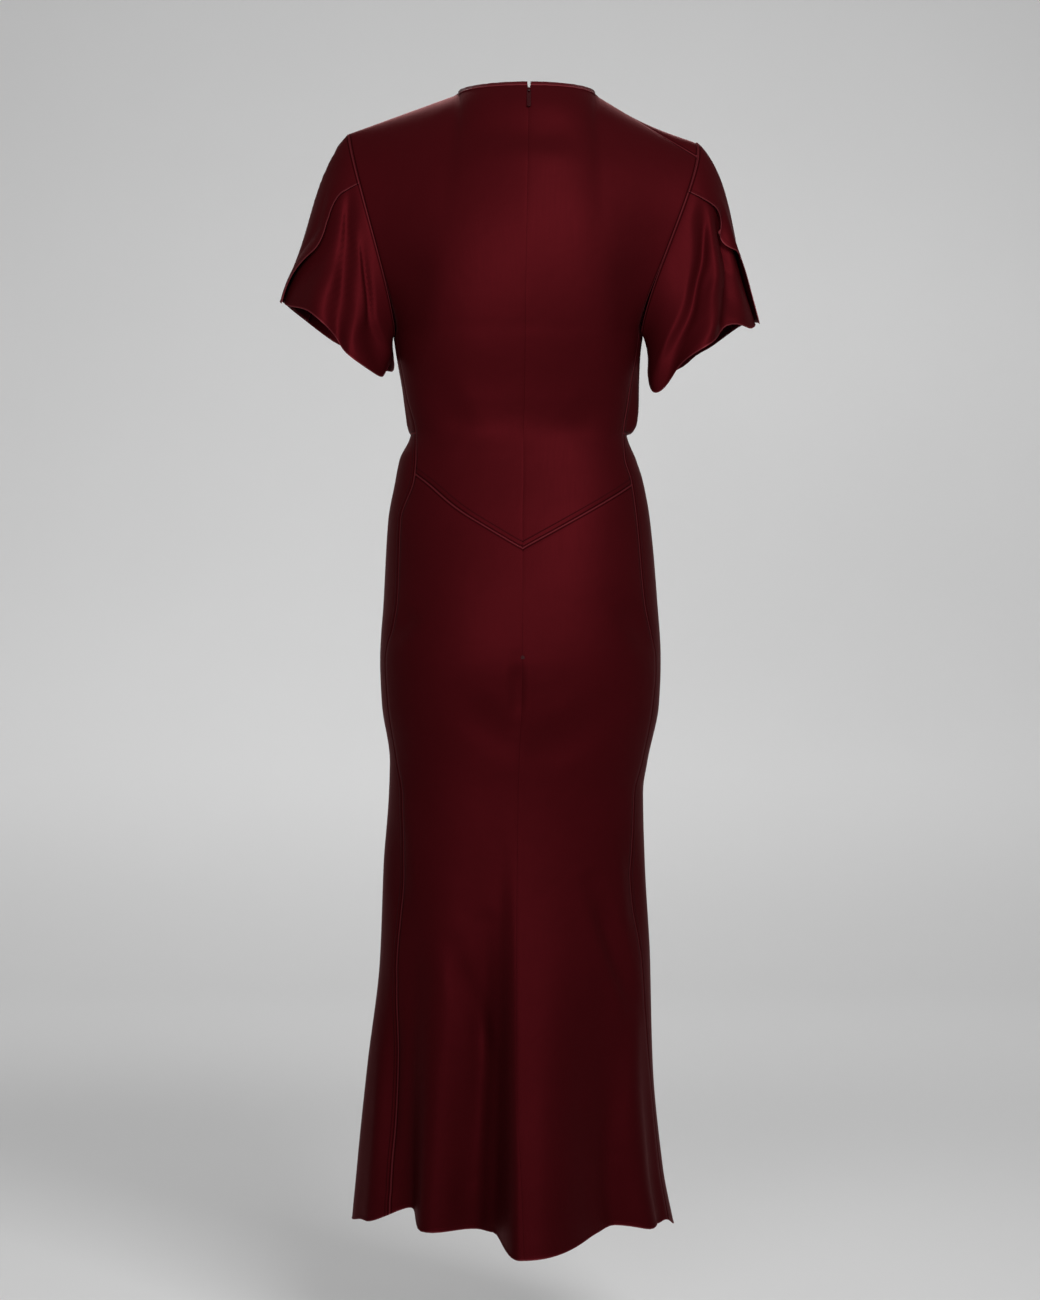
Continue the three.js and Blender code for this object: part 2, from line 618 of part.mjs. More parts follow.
// Sleeve petals: the front petal lies over the back petal between the two overlap points.
for (const name of ["left", "right"]) {
  const grid = sleeves[name];
  const [first, last] = OVERLAP;
  const end = 2 * ARMHOLE_ROWS;
  const cut = (from, to) =>
    grid.map((row) => (name === "left" ? row.slice(end - to, end - from + 1) : row.slice(from, to + 1)));
  add(`sleeve_back_petal_${name}`, clothWall(cut(0, last), SLEEVE_CLOTH, undefined, ARMHOLE_GAP));
  const lift = (r, c) => {
    const k = name === "left" ? end - c : first + c;
    const over = ease(clamp((end - k) / (end - last - 1)));
    return over * (SLEEVE_CLOTH + SEAM + HEM_LIFT * ease(clamp(r / SLEEVE_ROWS)));
  };
  add(`sleeve_front_petal_${name}`, clothWall(cut(first, end), SLEEVE_CLOTH, lift, ARMHOLE_GAP));
}

// The neck edge from the centre back round the wearer's right side and the front to the centre back again.
function neckEdge() {
  const backRight = panels.bodice_back_right[0].slice(0, NECK_COLUMNS + 1);
  const backLeft = panels.bodice_back_left[0].slice(SHOULDER_COLUMNS);
  const front = panels.bodice_front[0].slice(SHOULDER_COLUMNS, FRONT_TOTAL - SHOULDER_COLUMNS + 1);
  return [...backRight, ...front.slice(1), ...backLeft.slice(1)];
}

// The binding tops the neck edge. Each pair is a corner of its section: down from the edge, and out.
function bindingGeometry() {
  const { from, to, proud } = BINDING;
  const section = [
    [-from, proud],
    [-to, proud],
    [-to, -CLOTH - proud],
    [-from, -CLOTH - proud],
  ];
  const edge = neckEdge();
  const last = edge.length - 1;
  const rings = edge.map((point, k) => {
    const along = edge[Math.min(last, k + 1)].clone().sub(edge[Math.max(0, k - 1)]).normalize();
    const out = sewnNormal(point);
    out.addScaledVector(along, -out.dot(along)).normalize();
    const down = along.clone().cross(out);
    const start = point.clone();
    if (k === 0) start.addScaledVector(along, ZIP_OPENING / 2);
    if (k === last) start.addScaledVector(along, -ZIP_OPENING / 2);
    return section.map(([far, high]) => start.clone().addScaledVector(down, far).addScaledVector(out, high));
  });
  return sweepGeometry(rings);
}

// The end of the binding's section, as triangles of its corners.
const BINDING_END = [0, 1, 2, 0, 2, 3];

// A closed solid through rings of points, with flat ends.
function sweepGeometry(rings) {
  const count = rings[0].length;
  const positions = rings.flat().flatMap((p) => [p.x, p.y, p.z]);
  const faces = [];
  for (let k = 0; k < rings.length - 1; k += 1)
    for (let i = 0; i < count; i += 1) {
      const [a, b] = [k * count + i, k * count + ((i + 1) % count)];
      faces.push(a, b + count, b, a, a + count, b + count);
    }
  const end = (rings.length - 1) * count;
  faces.push(...BINDING_END, ...BINDING_END.map((i) => end + i).toReversed());
  const geometry = new THREE.BufferGeometry();
  geometry.setAttribute("position", new THREE.Float32BufferAttribute(positions, 3));
  geometry.setIndex(faces);
  return geometry;
}
add("neck_binding", bindingGeometry());

// The zip's tapes run down inside the centre back from below the binding.
function tapeGeometry(bodice, skirt, centre, next) {
  const rows = [...bodice, ...skirt.slice(1, TAPE_END_ROW + 1)];
  const start = TAPE_START / rows[0][centre].distanceTo(rows[1][centre]);
  const line = rows.map((row, r) => {
    const [a, b] = [row[centre].clone(), row[next].clone()];
    if (r === 0) {
      a.lerp(rows[1][centre], start);
      b.lerp(rows[1][next], start);
    }
    const gap = r === 0 ? mix(ZIP_OPENING, SEAM, start) : SEAM;
    const wide = b.clone().sub(a);
    const inner = a.clone().add(wide.clone().setLength(gap / 2));
    return [inner, a.clone().add(wide.setLength(TAPE_WIDTH))];
  });
  const wall = (depth) =>
    line.map((pair, r) => {
      const moved = pair.map((p) => p.clone().addScaledVector(sewnNormal(rows[r][centre]), -depth));
      return next < centre ? moved.reverse() : moved;
    });
  return wallGeometry(wall(CLOTH + SEAM), wall(CLOTH + SEAM + TAPE));
}
const leftTape = [panels.bodice_back_left, panels.skirt_back_left, BACK_COLUMNS, BACK_COLUMNS - 1];
const rightTape = [panels.bodice_back_right, panels.skirt_back_right, 0, 1];
add("zip_tape_left", tapeGeometry(...leftTape), TAPE_CLOTH);
add("zip_tape_right", tapeGeometry(...rightTape), TAPE_CLOTH);

// Sizes of the zip's slider and pull tab, down from the neck edge and out from the cloth.
const SLIDER = { top: 7.5, length: 9, width: 5, thick: 2, stem: 1.2, crown: 1.6, reach: 3, wall: 1.1 };
const CROWN = { top: 8.2, bottom: 14.8, inTop: 9.8, inBottom: 13.5 };
const TAB = { axis: 11.4, end: 37, width: 4.4, thick: 1, window: 15.8, rail: 1, bar: 0.5, out: 1 };
const LINING_OUT = CLOTH + TAPE + 3 * SEAM; // how far in from the cloth's face the slider's body lies

// Places a shape that is drawn flat: across, up along the cloth, and out from it.
function zipFrame() {
  const [top, below] = [panels.bodice_back_right[0][0], panels.bodice_back_right[1][0]];
  const up = top.clone().sub(below).normalize();
  const sideways = vec(1, 0, 0).addScaledVector(up, -up.x).normalize();
  return new THREE.Matrix4().makeBasis(sideways, up, sideways.clone().cross(up)).setPosition(top);
}

// A closed shape as a solid that can be joined and cut, and the geometry of such a solid.
function solidOf(shape) {
  shape.deleteAttribute("normal");
  shape.deleteAttribute("uv");
  const { attributes, index } = mergeVertices(shape);
  const vertProperties = attributes.position.array;
  const triVerts = Uint32Array.from(index.array);
  return new Manifold(new SolidMesh({ numProp: 3, vertProperties, triVerts }));
}

function solidGeometry(solid) {
  const { numProp, vertProperties, triVerts } = solid.getMesh();
  const geometry = new THREE.BufferGeometry();
  const positions = vertProperties.filter((_, i) => i % numProp < 3);
  geometry.setAttribute("position", new THREE.Float32BufferAttribute(positions, 3));
  geometry.setIndex(Array.from(triVerts));
  return geometry.applyMatrix4(zipFrame());
}

// A block between two depths down from the neck edge and two heights out from the cloth.
function block(width, top, bottom, low, high) {
  const box = new THREE.BoxGeometry(width, bottom - top, high - low);
  return solidOf(box.translate(0, -(top + bottom) / 2, (low + high) / 2));
}

function sliderSolid() {
  const { top, length, width, thick, stem, crown, reach, wall } = SLIDER;
  const body = block(width, top, top + length, -LINING_OUT - thick, -LINING_OUT);
  const neck = block(stem, CROWN.top, CROWN.inTop, -LINING_OUT - 0.2, SEAM + 0.3);
  const arch = block(crown, CROWN.top, CROWN.bottom, SEAM + 0.1, reach);
  const hollow = block(crown + 1, CROWN.inTop, CROWN.inBottom, 0, reach - wall);
  return body.add(neck).add(arch.subtract(hollow));
}

// The tab is a plate with a round end. Two rails beside its window hold the bar that it turns on.
function tabSolid() {
  const { axis, end, width, thick, window, rail, bar, out } = TAB;
  const side = width / 2;
  const outline = new THREE.Shape();
  outline.moveTo(-side, -axis);
  outline.absarc(0, side - end, side, Math.PI, 2 * Math.PI);
  outline.lineTo(side, -axis);
  outline.lineTo(side - rail, -axis);
  outline.lineTo(side - rail, -window);
  outline.lineTo(rail - side, -window);
  outline.lineTo(rail - side, -axis);
  const plate = new THREE.ExtrudeGeometry(outline, { depth: thick, bevelEnabled: false, curveSegments: 10 });
  const pin = new THREE.CylinderGeometry(bar, bar, width, 16).rotateZ(Math.PI / 2);
  return solidOf(plate.translate(0, 0, out - thick / 2)).add(solidOf(pin.translate(0, -axis, out)));
}
add("zip_slider", solidGeometry(sliderSolid()), METAL);
add("zip_pull_tab", solidGeometry(tabSolid()), METAL);

export default dress;
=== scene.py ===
# %% [markdown]
# A dark burgundy satin maxi dress, seen from the back, hollow and in the shape that it hangs in when
# worn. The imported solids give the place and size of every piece. This script makes the cloth that
# shows: fine panels over the same sections, with their folds, seams, hems and sheen.

# %% The frame
import math

import bmesh
import bpy
import numpy as np
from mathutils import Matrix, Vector


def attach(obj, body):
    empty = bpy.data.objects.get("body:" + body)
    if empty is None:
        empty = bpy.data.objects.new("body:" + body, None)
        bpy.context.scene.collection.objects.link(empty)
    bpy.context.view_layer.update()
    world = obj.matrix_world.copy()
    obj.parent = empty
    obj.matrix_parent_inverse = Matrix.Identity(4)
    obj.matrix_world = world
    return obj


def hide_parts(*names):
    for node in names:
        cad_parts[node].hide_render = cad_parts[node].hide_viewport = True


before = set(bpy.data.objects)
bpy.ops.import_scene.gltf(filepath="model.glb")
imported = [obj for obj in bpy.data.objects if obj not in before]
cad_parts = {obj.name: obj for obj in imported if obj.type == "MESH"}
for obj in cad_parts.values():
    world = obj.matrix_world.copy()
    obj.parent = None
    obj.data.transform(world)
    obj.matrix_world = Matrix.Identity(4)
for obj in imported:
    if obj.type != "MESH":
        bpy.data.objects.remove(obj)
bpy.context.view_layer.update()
MM = 0.001


# %% [markdown]
# Every shape below is a formula over whole grids of points at once, so the small helpers work on
# arrays of numbers as well as on one number. All sizes are in millimetres until a mesh is made.

# %% Helpers for curves
def mix(a, b, t):
    return a + (b - a) * t


def clamp(t):
    return np.clip(t, 0.0, 1.0)


def ease(t):
    t = clamp(t)
    return t * t * (3 - 2 * t)


def bump(off):
    """A soft hump that is 1 at 0 and 0 from 1 onwards."""
    return np.where(np.abs(off) < 1, np.cos(np.clip(off, -1, 1) * np.pi / 2) ** 2, 0.0)


def column(values):
    """Turns numbers into one more axis, so that they can scale vectors."""
    return np.asarray(values, float)[..., None]


def together(a, b):
    """Two numbers or grids, brought to one shape."""
    return np.broadcast_arrays(np.asarray(a, float), np.asarray(b, float))


def unit(vectors):
    return vectors / np.maximum(np.linalg.norm(vectors, axis=-1, keepdims=True), 1e-9)


def bezier(a, b, c, d, t):
    t = column(t)
    return (1 - t) ** 3 * a + 3 * (1 - t) ** 2 * t * b + 3 * (1 - t) * t * t * c + t**3 * d


# %% [markdown]
# A dress is cut to sections of the body that it hangs on. Each row here is a level section: how far the
# cloth reaches to each side, to the back and to the front, and where the seams of the back run. A smooth
# curve joins the rows. A lattice or a sculpted mesh would also do, but a table of sections is what a
# pattern maker measures, and it keeps the panels and the solids on one form.

# %% Sections of the body
SECTION_COLUMNS = ("z", "left", "right", "back", "front", "seam_left", "seam_back", "seam_right")
SECTION_ROWS = [
    (-200, 148, 146, 106, 116, -147, 8, 145),
    (-275, 143, 139, 100, 118, -141, 6, 137),
    (-347, 130, 126, 85, 100, -127, 5, 122),
    (-387, 124, 121, 79, 86, -117, 4, 116),
    (-415, 136, 131, 83, 88, -116, 4, 117),
    (-440, 141, 139, 89, 90, -118, 4, 124),
    (-485, 149, 147, 101, 94, -133, 3, 130),
    (-575, 154, 155, 119, 98, -136, 3, 138),
    (-640, 158, 159, 123, 99, -150, 3, 152),
    (-690, 156, 157, 118, 99, -147, 2, 148),
    (-755, 147, 144, 109, 99, -137, -1, 136),
    (-790, 148, 139, 106, 100, -131, -2, 127),
    (-870, 154, 141, 104, 104, -131, -3, 125),
    (-980, 158, 147, 108, 112, -138, -4, 136),
    (-1095, 171, 149, 113, 124, -144, -3, 145),
    (-1205, 181, 158, 119, 136, -153, 2, 155),
    (-1300, 187, 172, 122, 144, -158, 4, 168),
]
SECTIONS = {name: np.array(values, float) for name, values in zip(SECTION_COLUMNS, zip(*SECTION_ROWS))}
ROUNDNESS = 0.88
CHEST_Z = -275
WAIST_Z = -387
HEM_Z = -1264
V_POINT_Z = -519
V_TURN = 0.96
FRONT_SEAM = math.radians(122)


def slopes_of(heights, values):
    steps = np.diff(values) / np.diff(heights)
    before, after = steps[:-1], steps[1:]
    level = before * after <= 0
    inner = np.where(level, 0, 2 * before * after / np.where(level, 1, before + after))
    return np.concatenate([[0], inner, [0]])


def section(z, name):
    """How far one column of the table reaches at a height, with no overshoot between the rows."""
    heights, values = SECTIONS["z"], SECTIONS[name]
    slopes = slopes_of(heights, values)
    z = np.clip(z, heights[-1], heights[0])
    k = np.clip(np.searchsorted(-heights, -z, side="right") - 1, 0, len(heights) - 2)
    step = heights[k + 1] - heights[k]
    t = (z - heights[k]) / step
    keep = 2 * t**3 - 3 * t**2 + 1
    lean = (t**3 - 2 * t**2 + t) * step * slopes[k] + (t**3 - t**2) * step * slopes[k + 1]
    return keep * values[k] + (1 - keep) * values[k + 1] + lean


def squared(v):
    return np.sign(v) * np.abs(v) ** ROUNDNESS


def body_point(turn, z):
    """The point at an angle round from the centre back and a height."""
    turn, z = together(turn, z)
    across, forward = squared(np.sin(turn)), -squared(np.cos(turn))
    x = across * np.where(across < 0, section(z, "left"), section(z, "right"))
    y = forward * np.where(forward < 0, section(z, "back"), section(z, "front"))
    return np.stack([x, y, z], -1)


def outwards(turn):
    return np.stack([np.sin(turn), -np.cos(turn), 0 * turn], -1)


def seam_turn(name, z):
    """The angle at which a seam of the back lies, at a height."""
    x = section(z, name)
    reach = np.where(x < 0, section(z, "left"), section(z, "right"))
    return np.sign(x) * np.arcsin(np.minimum(1, np.abs(x) / reach) ** (1 / ROUNDNESS))


print("waist", section(WAIST_Z, "left") + section(WAIST_Z, "right"), "mm across")

# %% [markdown]
# Below the knee the skirt falls in flutes. Each row is one: where its crest or hollow meets the hem, how
# far it stands out, how wide each flank is, how far it drops the hem, and the height where it starts.
# They deepen on the way down, as godets and a flared cut make them do.

# %% Flutes of the skirt
FLUTE_FADE = 1.6  # above 1, a flute is slow to start
FLUTES = [  # degrees round from the centre back, out, width before and after, drop, start
    (0, 62, 7, 32, 17, -800),
    (-14, -20, 14, 9, 0, -840),
    (-28, 8, 10, 12, 1, -900),
    (-47, -28, 18, 16, -17, -850),
    (-84, 4, 14, 14, 5, -900),
    (38, -12, 12, 10, -2, -860),
    (54, 7, 10, 12, 4, -930),
    (69, -4, 10, 10, 4, -930),
    (88, 5, 16, 14, 12, -1000),
    (112, -22, 14, 14, -6, -850),
    (138, 26, 17, 17, 6, -800),
    (160, -14, 12, 12, -4, -880),
    (181, 30, 18, 16, 6, -820),
    (203, -16, 12, 14, -4, -880),
    (226, 24, 16, 16, 5, -800),
    (250, -20, 14, 14, -5, -850),
]


def skirt_point(turn, z):
    turn, z = together(turn, z)
    points = body_point(turn, z)
    away = outwards(turn)
    for middle, out, before, after, drop, start in FLUTES:
        depth = clamp((start - z) / (start - HEM_Z)) ** FLUTE_FADE
        off = (np.degrees(turn) - middle + 540) % 360 - 180
        share = depth * bump(off / np.where(off < 0, before, after))
        points = points + away * column(out * share)
        points[..., 2] -= drop * share
    return points


# %% [markdown]
# The front bodice is cut fuller than the waist that it is sewn to, so it blouses a little over the seam,
# with soft gathers. The bulge shows at the right side from behind.

# %% Fullness of the front bodice
BLOUSE = {"right": 9, "left": 1, "middle": 9, "gather": 2.2, "gathers": 16}


def bloused(turn, z):
    turn, z = together(turn, z)
    rise = clamp((z - WAIST_Z) / (CHEST_Z - 15 - WAIST_Z))
    full = np.sin(np.pi * rise**0.45)
    from_right = turn - seam_turn("seam_right", z)
    from_left = 2 * np.pi + seam_turn("seam_left", z) - turn
    right = BLOUSE["right"] * ease(from_right / 0.3) * ease(1.7 - turn / 2)
    left = BLOUSE["left"] * ease(from_left / 0.25)
    middle = BLOUSE["middle"] * np.sin(clamp(from_right / (from_right + from_left)) * np.pi) ** 2
    edge = ease(np.minimum(from_right, from_left) / 0.35)
    gathers = BLOUSE["gather"] * edge * np.cos(turn * BLOUSE["gathers"]) * (1 - rise) ** 2 * clamp(rise * 8)
    out = full * (np.maximum(right, left) + middle) + gathers
    return body_point(turn, z) + outwards(turn) * column(out)


# %% [markdown]
# Above the chest the cloth leaves the round sections and runs up to two shoulder seams and the neck edge.
# Each column of cloth is a curve from the chest to its top edge, steered by the points of this table.

# %% Neck and shoulders
NECK_BACK = np.array([10, -52, 0.5])
NECK_FRONT = np.array([8, 73, -64])
CENTRE_BACK_UP = np.array([0, -10, 95])
CENTRE_FRONT_UP = np.array([0, 16, 60])
ARMHOLE_BACK = (-4, -34, 40)
ARMHOLE_FRONT = (-2, 62, 40)
SHOULDERS = {
    "left": {
        "side": -1,
        "seam": "seam_left",
        "v_end": -434,
        "neck": np.array([-69, -4, -2]),
        "tip": np.array([-194, 3, -46]),
        "leave": 0.68,
        "over_back": np.array([[10, -100, -60], [-69, -84, -36], [-187, -54, -98]]),
        "over_front": np.array([[8, 107, -108], [-74, 58, -40], [-186, 62, -90]]),
    },
    "right": {
        "side": 1,
        "seam": "seam_right",
        "v_end": -446,
        "neck": np.array([84, -7, -3]),
        "tip": np.array([200, -18, -76]),
        "leave": 0.85,
        "over_back": np.array([[10, -100, -60], [86, -84, -42], [191, -60, -130]]),
        "over_front": np.array([[8, 107, -108], [86, 54, -38], [208, 36, 14]]),
    },
}
NECK_SHARE = 7 / 16  # share of the back's columns that end at the neck edge
SHOULDER_SHARE = 9 / 32  # share of the front's columns, on each side, that end at a shoulder seam
SIDE_SHARE = 6 / 32  # and the share that lies above each side panel


def back_neck(side, share):
    turn = share * np.pi / 2
    x = mix(NECK_BACK[0], side["neck"][0], np.sin(turn))
    y = mix(side["neck"][1], NECK_BACK[1], np.cos(turn))
    return np.stack([x, y, mix(NECK_BACK[2], side["neck"][2], share**2)], -1)


def front_neck(share):
    right = column(share < 0.5)
    end = np.where(right, SHOULDERS["right"]["neck"], SHOULDERS["left"]["neck"])
    turn = share * np.pi
    x = mix(NECK_FRONT[0], end[..., 0], np.abs(np.cos(turn)))
    y = mix(end[..., 1], NECK_FRONT[1], np.sin(turn))
    return np.stack([x, y, mix(end[..., 2], NECK_FRONT[2], clamp(np.sin(turn)) ** 1.5)], -1)


def through(points, middle, share):
    """A smooth curve through three points, the middle one at a given share of the way."""
    share = column(share)
    at_a = (share - middle) * (share - 1) / middle
    at_b = share * (share - 1) / (middle * (middle - 1))
    at_c = share * (share - middle) / (1 - middle)
    return points[0] * at_a + points[1] * at_b + points[2] * at_c


def back_curve(side, share, t):
    """The back from the chest at 0 to its top edge at 1. share runs from the centre to the armhole."""
    share, t = together(share, t)
    turn = mix(seam_turn("seam_back", CHEST_Z), seam_turn(side["seam"], CHEST_Z), share)
    bottom = body_point(turn, CHEST_Z)
    shoulder = mix(side["neck"], side["tip"], column((share - NECK_SHARE) / (1 - NECK_SHARE)))
    top = np.where(column(share < NECK_SHARE), back_neck(side, np.minimum(share / NECK_SHARE, 1)), shoulder)
    out, forward, up = ARMHOLE_BACK
    flare = body_point(turn, CHEST_Z + 1) - bottom
    flare[..., 2] = 0
    armhole = np.array([out * side["side"], forward, up])
    first = flare * column(mix(CENTRE_BACK_UP[2], up, share)) + mix(CENTRE_BACK_UP, armhole, column(share**3))
    return bezier(bottom, bottom + first, through(side["over_back"], NECK_SHARE, share), top, t)


def front_share(place):
    """The share of the turn at a place across the front, from the right armhole at 0 to the left at 1."""
    start = seam_turn("seam_right", WAIST_Z)
    end = 2 * np.pi + seam_turn("seam_left", WAIST_Z)
    knots = [0, SIDE_SHARE, 1 - SIDE_SHARE, 1]
    turn = np.interp(place, knots, [start, FRONT_SEAM, 2 * np.pi - FRONT_SEAM, end])
    return (turn - start) / (end - start)


def front_turn(place, z):
    start = seam_turn("seam_right", z)
    return mix(start, 2 * np.pi + seam_turn("seam_left", z), front_share(place))


def front_curve(place, t):
    """The front from the chest at 0 to its top edge at 1."""
    place, t = together(place, t)
    inner = np.minimum(place, 1 - place)
    share = 1 - inner * 2
    bottom = bloused(front_turn(place, CHEST_Z), CHEST_Z)
    curves = []
    for side in (SHOULDERS["right"], SHOULDERS["left"]):
        shoulder = mix(side["tip"], side["neck"], column(clamp(inner / SHOULDER_SHARE)))
        neck = front_neck(clamp((place - SHOULDER_SHARE) / (1 - 2 * SHOULDER_SHARE)))
        top = np.where(column(inner < SHOULDER_SHARE), shoulder, neck)
        out, forward, up = ARMHOLE_FRONT
        first = mix(CENTRE_FRONT_UP, np.array([out * side["side"], forward, up]), column(share**3))
        last = through(side["over_front"], 1 - SHOULDER_SHARE * 2, share)
        curves.append(bezier(bottom, bottom + first, last, top, t))
    return np.where(column(place <= 0.5), curves[0], curves[1])


# %% [markdown]
# Worn cloth also creases where it is drawn over the body. Each row is one soft trough, or a ridge where out
# is above 0: its two ends across and up, its depth, its half width, and the face that it lies on. They are
# placed one by one, uneven in length and depth, because a simulation would not put them where they show.

# %% Creases
BACK, FRONT = -1, 1
CREASE_END = 0.25  # share of a crease's depth that is left at its ends
CREASES = [  # x and z of one end, x and z of the other, out, half width, face
    (108, -572, 152, -640, -3.4, 24, BACK),
    (-112, -585, -150, -624, -3.0, 20, BACK),
    (-2, -640, -3, -712, -3.0, 14, BACK),
    (-66, -690, 10, -738, -2.4, 34, BACK),
    (20, -744, 96, -698, -2.6, 34, BACK),
    (-74, -955, -34, -1085, -5.0, 20, BACK),
    (-36, -930, -44, -1205, -6.0, 20, BACK),
    (-141, -1000, -147, -1225, -5.5, 18, BACK),
    (80, -885, 128, -1030, -6.5, 17, BACK),
    (122, -845, 134, -955, -4.0, 16, BACK),
    (118, -1010, 104, -1180, -3.0, 20, BACK),
    (-140, -800, -132, -930, -3.0, 20, BACK),
    (-118, -170, -128, -310, -5.0, 38, BACK),
    (132, -180, 122, -320, -5.0, 38, BACK),
    (-72, -52, 86, -58, -4.0, 36, BACK),
    (-100, -330, -54, -398, -1.6, 30, BACK),
    (104, -340, 50, -402, -1.8, 32, BACK),
    (-60, -170, -96, -300, -5.0, 32, FRONT),
    (70, -180, 100, -310, -5.5, 34, FRONT),
    (-20, -150, 10, -330, -3.0, 36, FRONT),
    (-108, -470, -60, -560, -3.0, 28, FRONT),
    (112, -480, 70, -585, -3.2, 26, FRONT),
    (-70, -640, 20, -700, -2.5, 34, FRONT),
    (60, -720, 118, -860, -4.0, 28, FRONT),
    (-40, -860, -92, -1040, -4.5, 26, FRONT),
]


def outward(points):
    """A direction away from the body that depends on place alone, so that sewn edges move together."""
    wide, deep, high = 150, 105, 173
    rise = np.maximum(points[..., 2] - CHEST_Z, 0)
    return unit(np.stack([points[..., 0] / wide**2, points[..., 1] / deep**2, rise / high**2], -1))


def creased(points):
    """Presses every crease of the table into the cloth."""
    out = np.zeros(points.shape[:-1])
    for x, z, x_end, z_end, depth, wide, face in CREASES:
        start = np.array([x, z])
        run = np.array([x_end, z_end]) - start
        from_start = points[..., [0, 2]] - start
        along = clamp(from_start @ run / (run @ run))
        off = np.linalg.norm(from_start - column(along) * run, axis=-1) / wide
        taper = CREASE_END + (1 - CREASE_END) * ease(np.minimum(along, 1 - along) / 0.35)
        out = out + depth * bump(off) * taper * ease(face * points[..., 1] / 30)
    return points + outward(points) * column(out)


# %% [markdown]
# A panel starts as a flat grid from the bmesh operator, one cell every few millimetres, and each of its
# points is then moved to its place on the form. The distance from each point to the panel's own edges is
# kept on the mesh, in millimetres: the satin uses it to draw seams, pressed allowances and hems.

# %% Panels from grids
CELL = 4.0  # size of a cell of cloth
WALL = 0.8  # thickness of the cloth
SEAM_DIP = 0.55  # how deep the cloth sinks at a seam
SEAM_SOFT = 3.2  # how far from the seam it starts to sink
HEM_ROLL = 0.5  # how far a rolled edge stands out
HEM_SOFT = 2.2
FAR = 500.0
FAINT = 2.6  # a faint seam is drawn as if it were this much further off


def crowded(t, crowd=0.72):
    """Moves grid lines towards both ends, where the seams are."""
    return t - crowd * np.sin(2 * np.pi * t) / (2 * np.pi)


def edge_distances(points):
    """How far each point of a grid lies from the panel's four edges, along the cloth."""
    across = np.cumsum(np.linalg.norm(np.diff(points, axis=1), axis=-1), axis=1)
    across = np.pad(across, ((0, 0), (1, 0)))
    down = np.cumsum(np.linalg.norm(np.diff(points, axis=0), axis=-1), axis=0)
    down = np.pad(down, ((1, 0), (0, 0)))
    return {"left": across, "right": across[:, -1:] - across, "top": down, "bottom": down[-1:] - down}


def nearest(distances, edges):
    if not edges:
        return np.full(distances["left"].shape, FAR)
    return np.minimum.reduce([distances[edge] for edge in edges])


def grid_normals(points):
    down = np.gradient(points, axis=0)
    along = np.gradient(points, axis=1)
    return unit(np.cross(down, along))


def in_scene(name, data):
    thing = bpy.data.objects.new(name, data)
    bpy.context.scene.collection.objects.link(thing)
    return thing


def piece_from(bm, name):
    """An object with smooth faces from a bmesh."""
    for face in bm.faces:
        face.smooth = True
    mesh = bpy.data.meshes.new(name)
    bm.to_mesh(mesh)
    bm.free()
    return in_scene(name, mesh)


def panel_mesh(name, points, fields, uv, thickness=WALL):
    """A grid of points as a mesh with fields on its points, in metres. Rows run down."""
    rows, columns = points.shape[:2]
    bm = bmesh.new()
    bmesh.ops.create_grid(bm, x_segments=columns - 1, y_segments=rows - 1, size=0.5)
    layers = {key: bm.verts.layers.float.new(key) for key in fields}
    cloth = bm.loops.layers.uv.new("cloth")
    places = {}
    for vert in bm.verts:
        c = round((vert.co.x + 0.5) * (columns - 1))
        r = round((0.5 - vert.co.y) * (rows - 1))
        places[vert] = (r, c)
    for vert, (r, c) in places.items():
        vert.co = Vector(points[r, c]) * MM
        for key, layer in layers.items():
            vert[layer] = float(fields[key][r, c])
    for face in bm.faces:
        for loop in face.loops:
            r, c = places[loop.vert]
            loop[cloth].uv = (uv[0][r, c] * MM, -uv[1][r, c] * MM)
    for edge in bm.edges:
        edge.smooth = not edge.is_boundary
    piece = piece_from(bm, name)
    wall = piece.modifiers.new("wall", "SOLIDIFY")
    wall.thickness = thickness * MM
    wall.offset = -1
    wall.use_even_offset = True
    return piece


def cloth_panel(
    name, place, size, seams=(), hems=(), pressed=(), press_at=6.0, lift=None, top_seam=None, faint=()
):
    """A panel of cloth. place gives the points for a share across and a fall from the top edge.
    top_seam says for each share across whether the top edge is sewn (1) or is the neck edge (-1).
    A faint seam is one that hardly shows, as under a concealed zip."""
    width, length = size
    across = crowded(np.linspace(0, 1, round(width / CELL) + 1))
    fall = crowded(np.linspace(0, 1, round(length / CELL) + 1), 0.5)
    share, drop = np.meshgrid(across, fall)
    points = place(share, drop)
    distances = edge_distances(points)
    for edge in faint:
        distances[edge] = distances[edge] + FAINT
    sewn_top = top_seam(share) if top_seam else np.zeros_like(share)
    seam = np.minimum(nearest(distances, seams), np.where(sewn_top > 0, distances["top"], FAR))
    hem = np.minimum(nearest(distances, hems), np.where(sewn_top < 0, distances["top"], FAR))
    out = HEM_ROLL * bump(hem / HEM_SOFT)
    if lift is not None:
        out = out + lift(share, drop)
    points = points + grid_normals(points) * column(out)
    points = points - outward(points) * column(SEAM_DIP * np.exp(-((seam / SEAM_SOFT) ** 2)))
    fields = {"seam": seam, "hem": hem, "press": nearest(distances, pressed) / press_at}
    piece = panel_mesh(f"{name}_cloth", points, fields, (distances["left"], distances["top"]))
    wide, long = (distances[edge].max().round() for edge in ("left", "top"))
    area = round(grid_area(points) * MM * MM, 4)
    print(name, "cells", len(piece.data.polygons), "size", wide, long, "area", area)
    return piece


def grid_area(points):
    a = np.cross(points[1:, 1:] - points[:-1, :-1], points[1:, :-1] - points[:-1, 1:])
    return np.linalg.norm(a, axis=-1).sum() / 2


# %% [markdown]
# The two back halves of the bodice meet at the zip and end below in a pointed seam. Their rows lean, so
# that the grid runs along both the chest and the pointed seam.

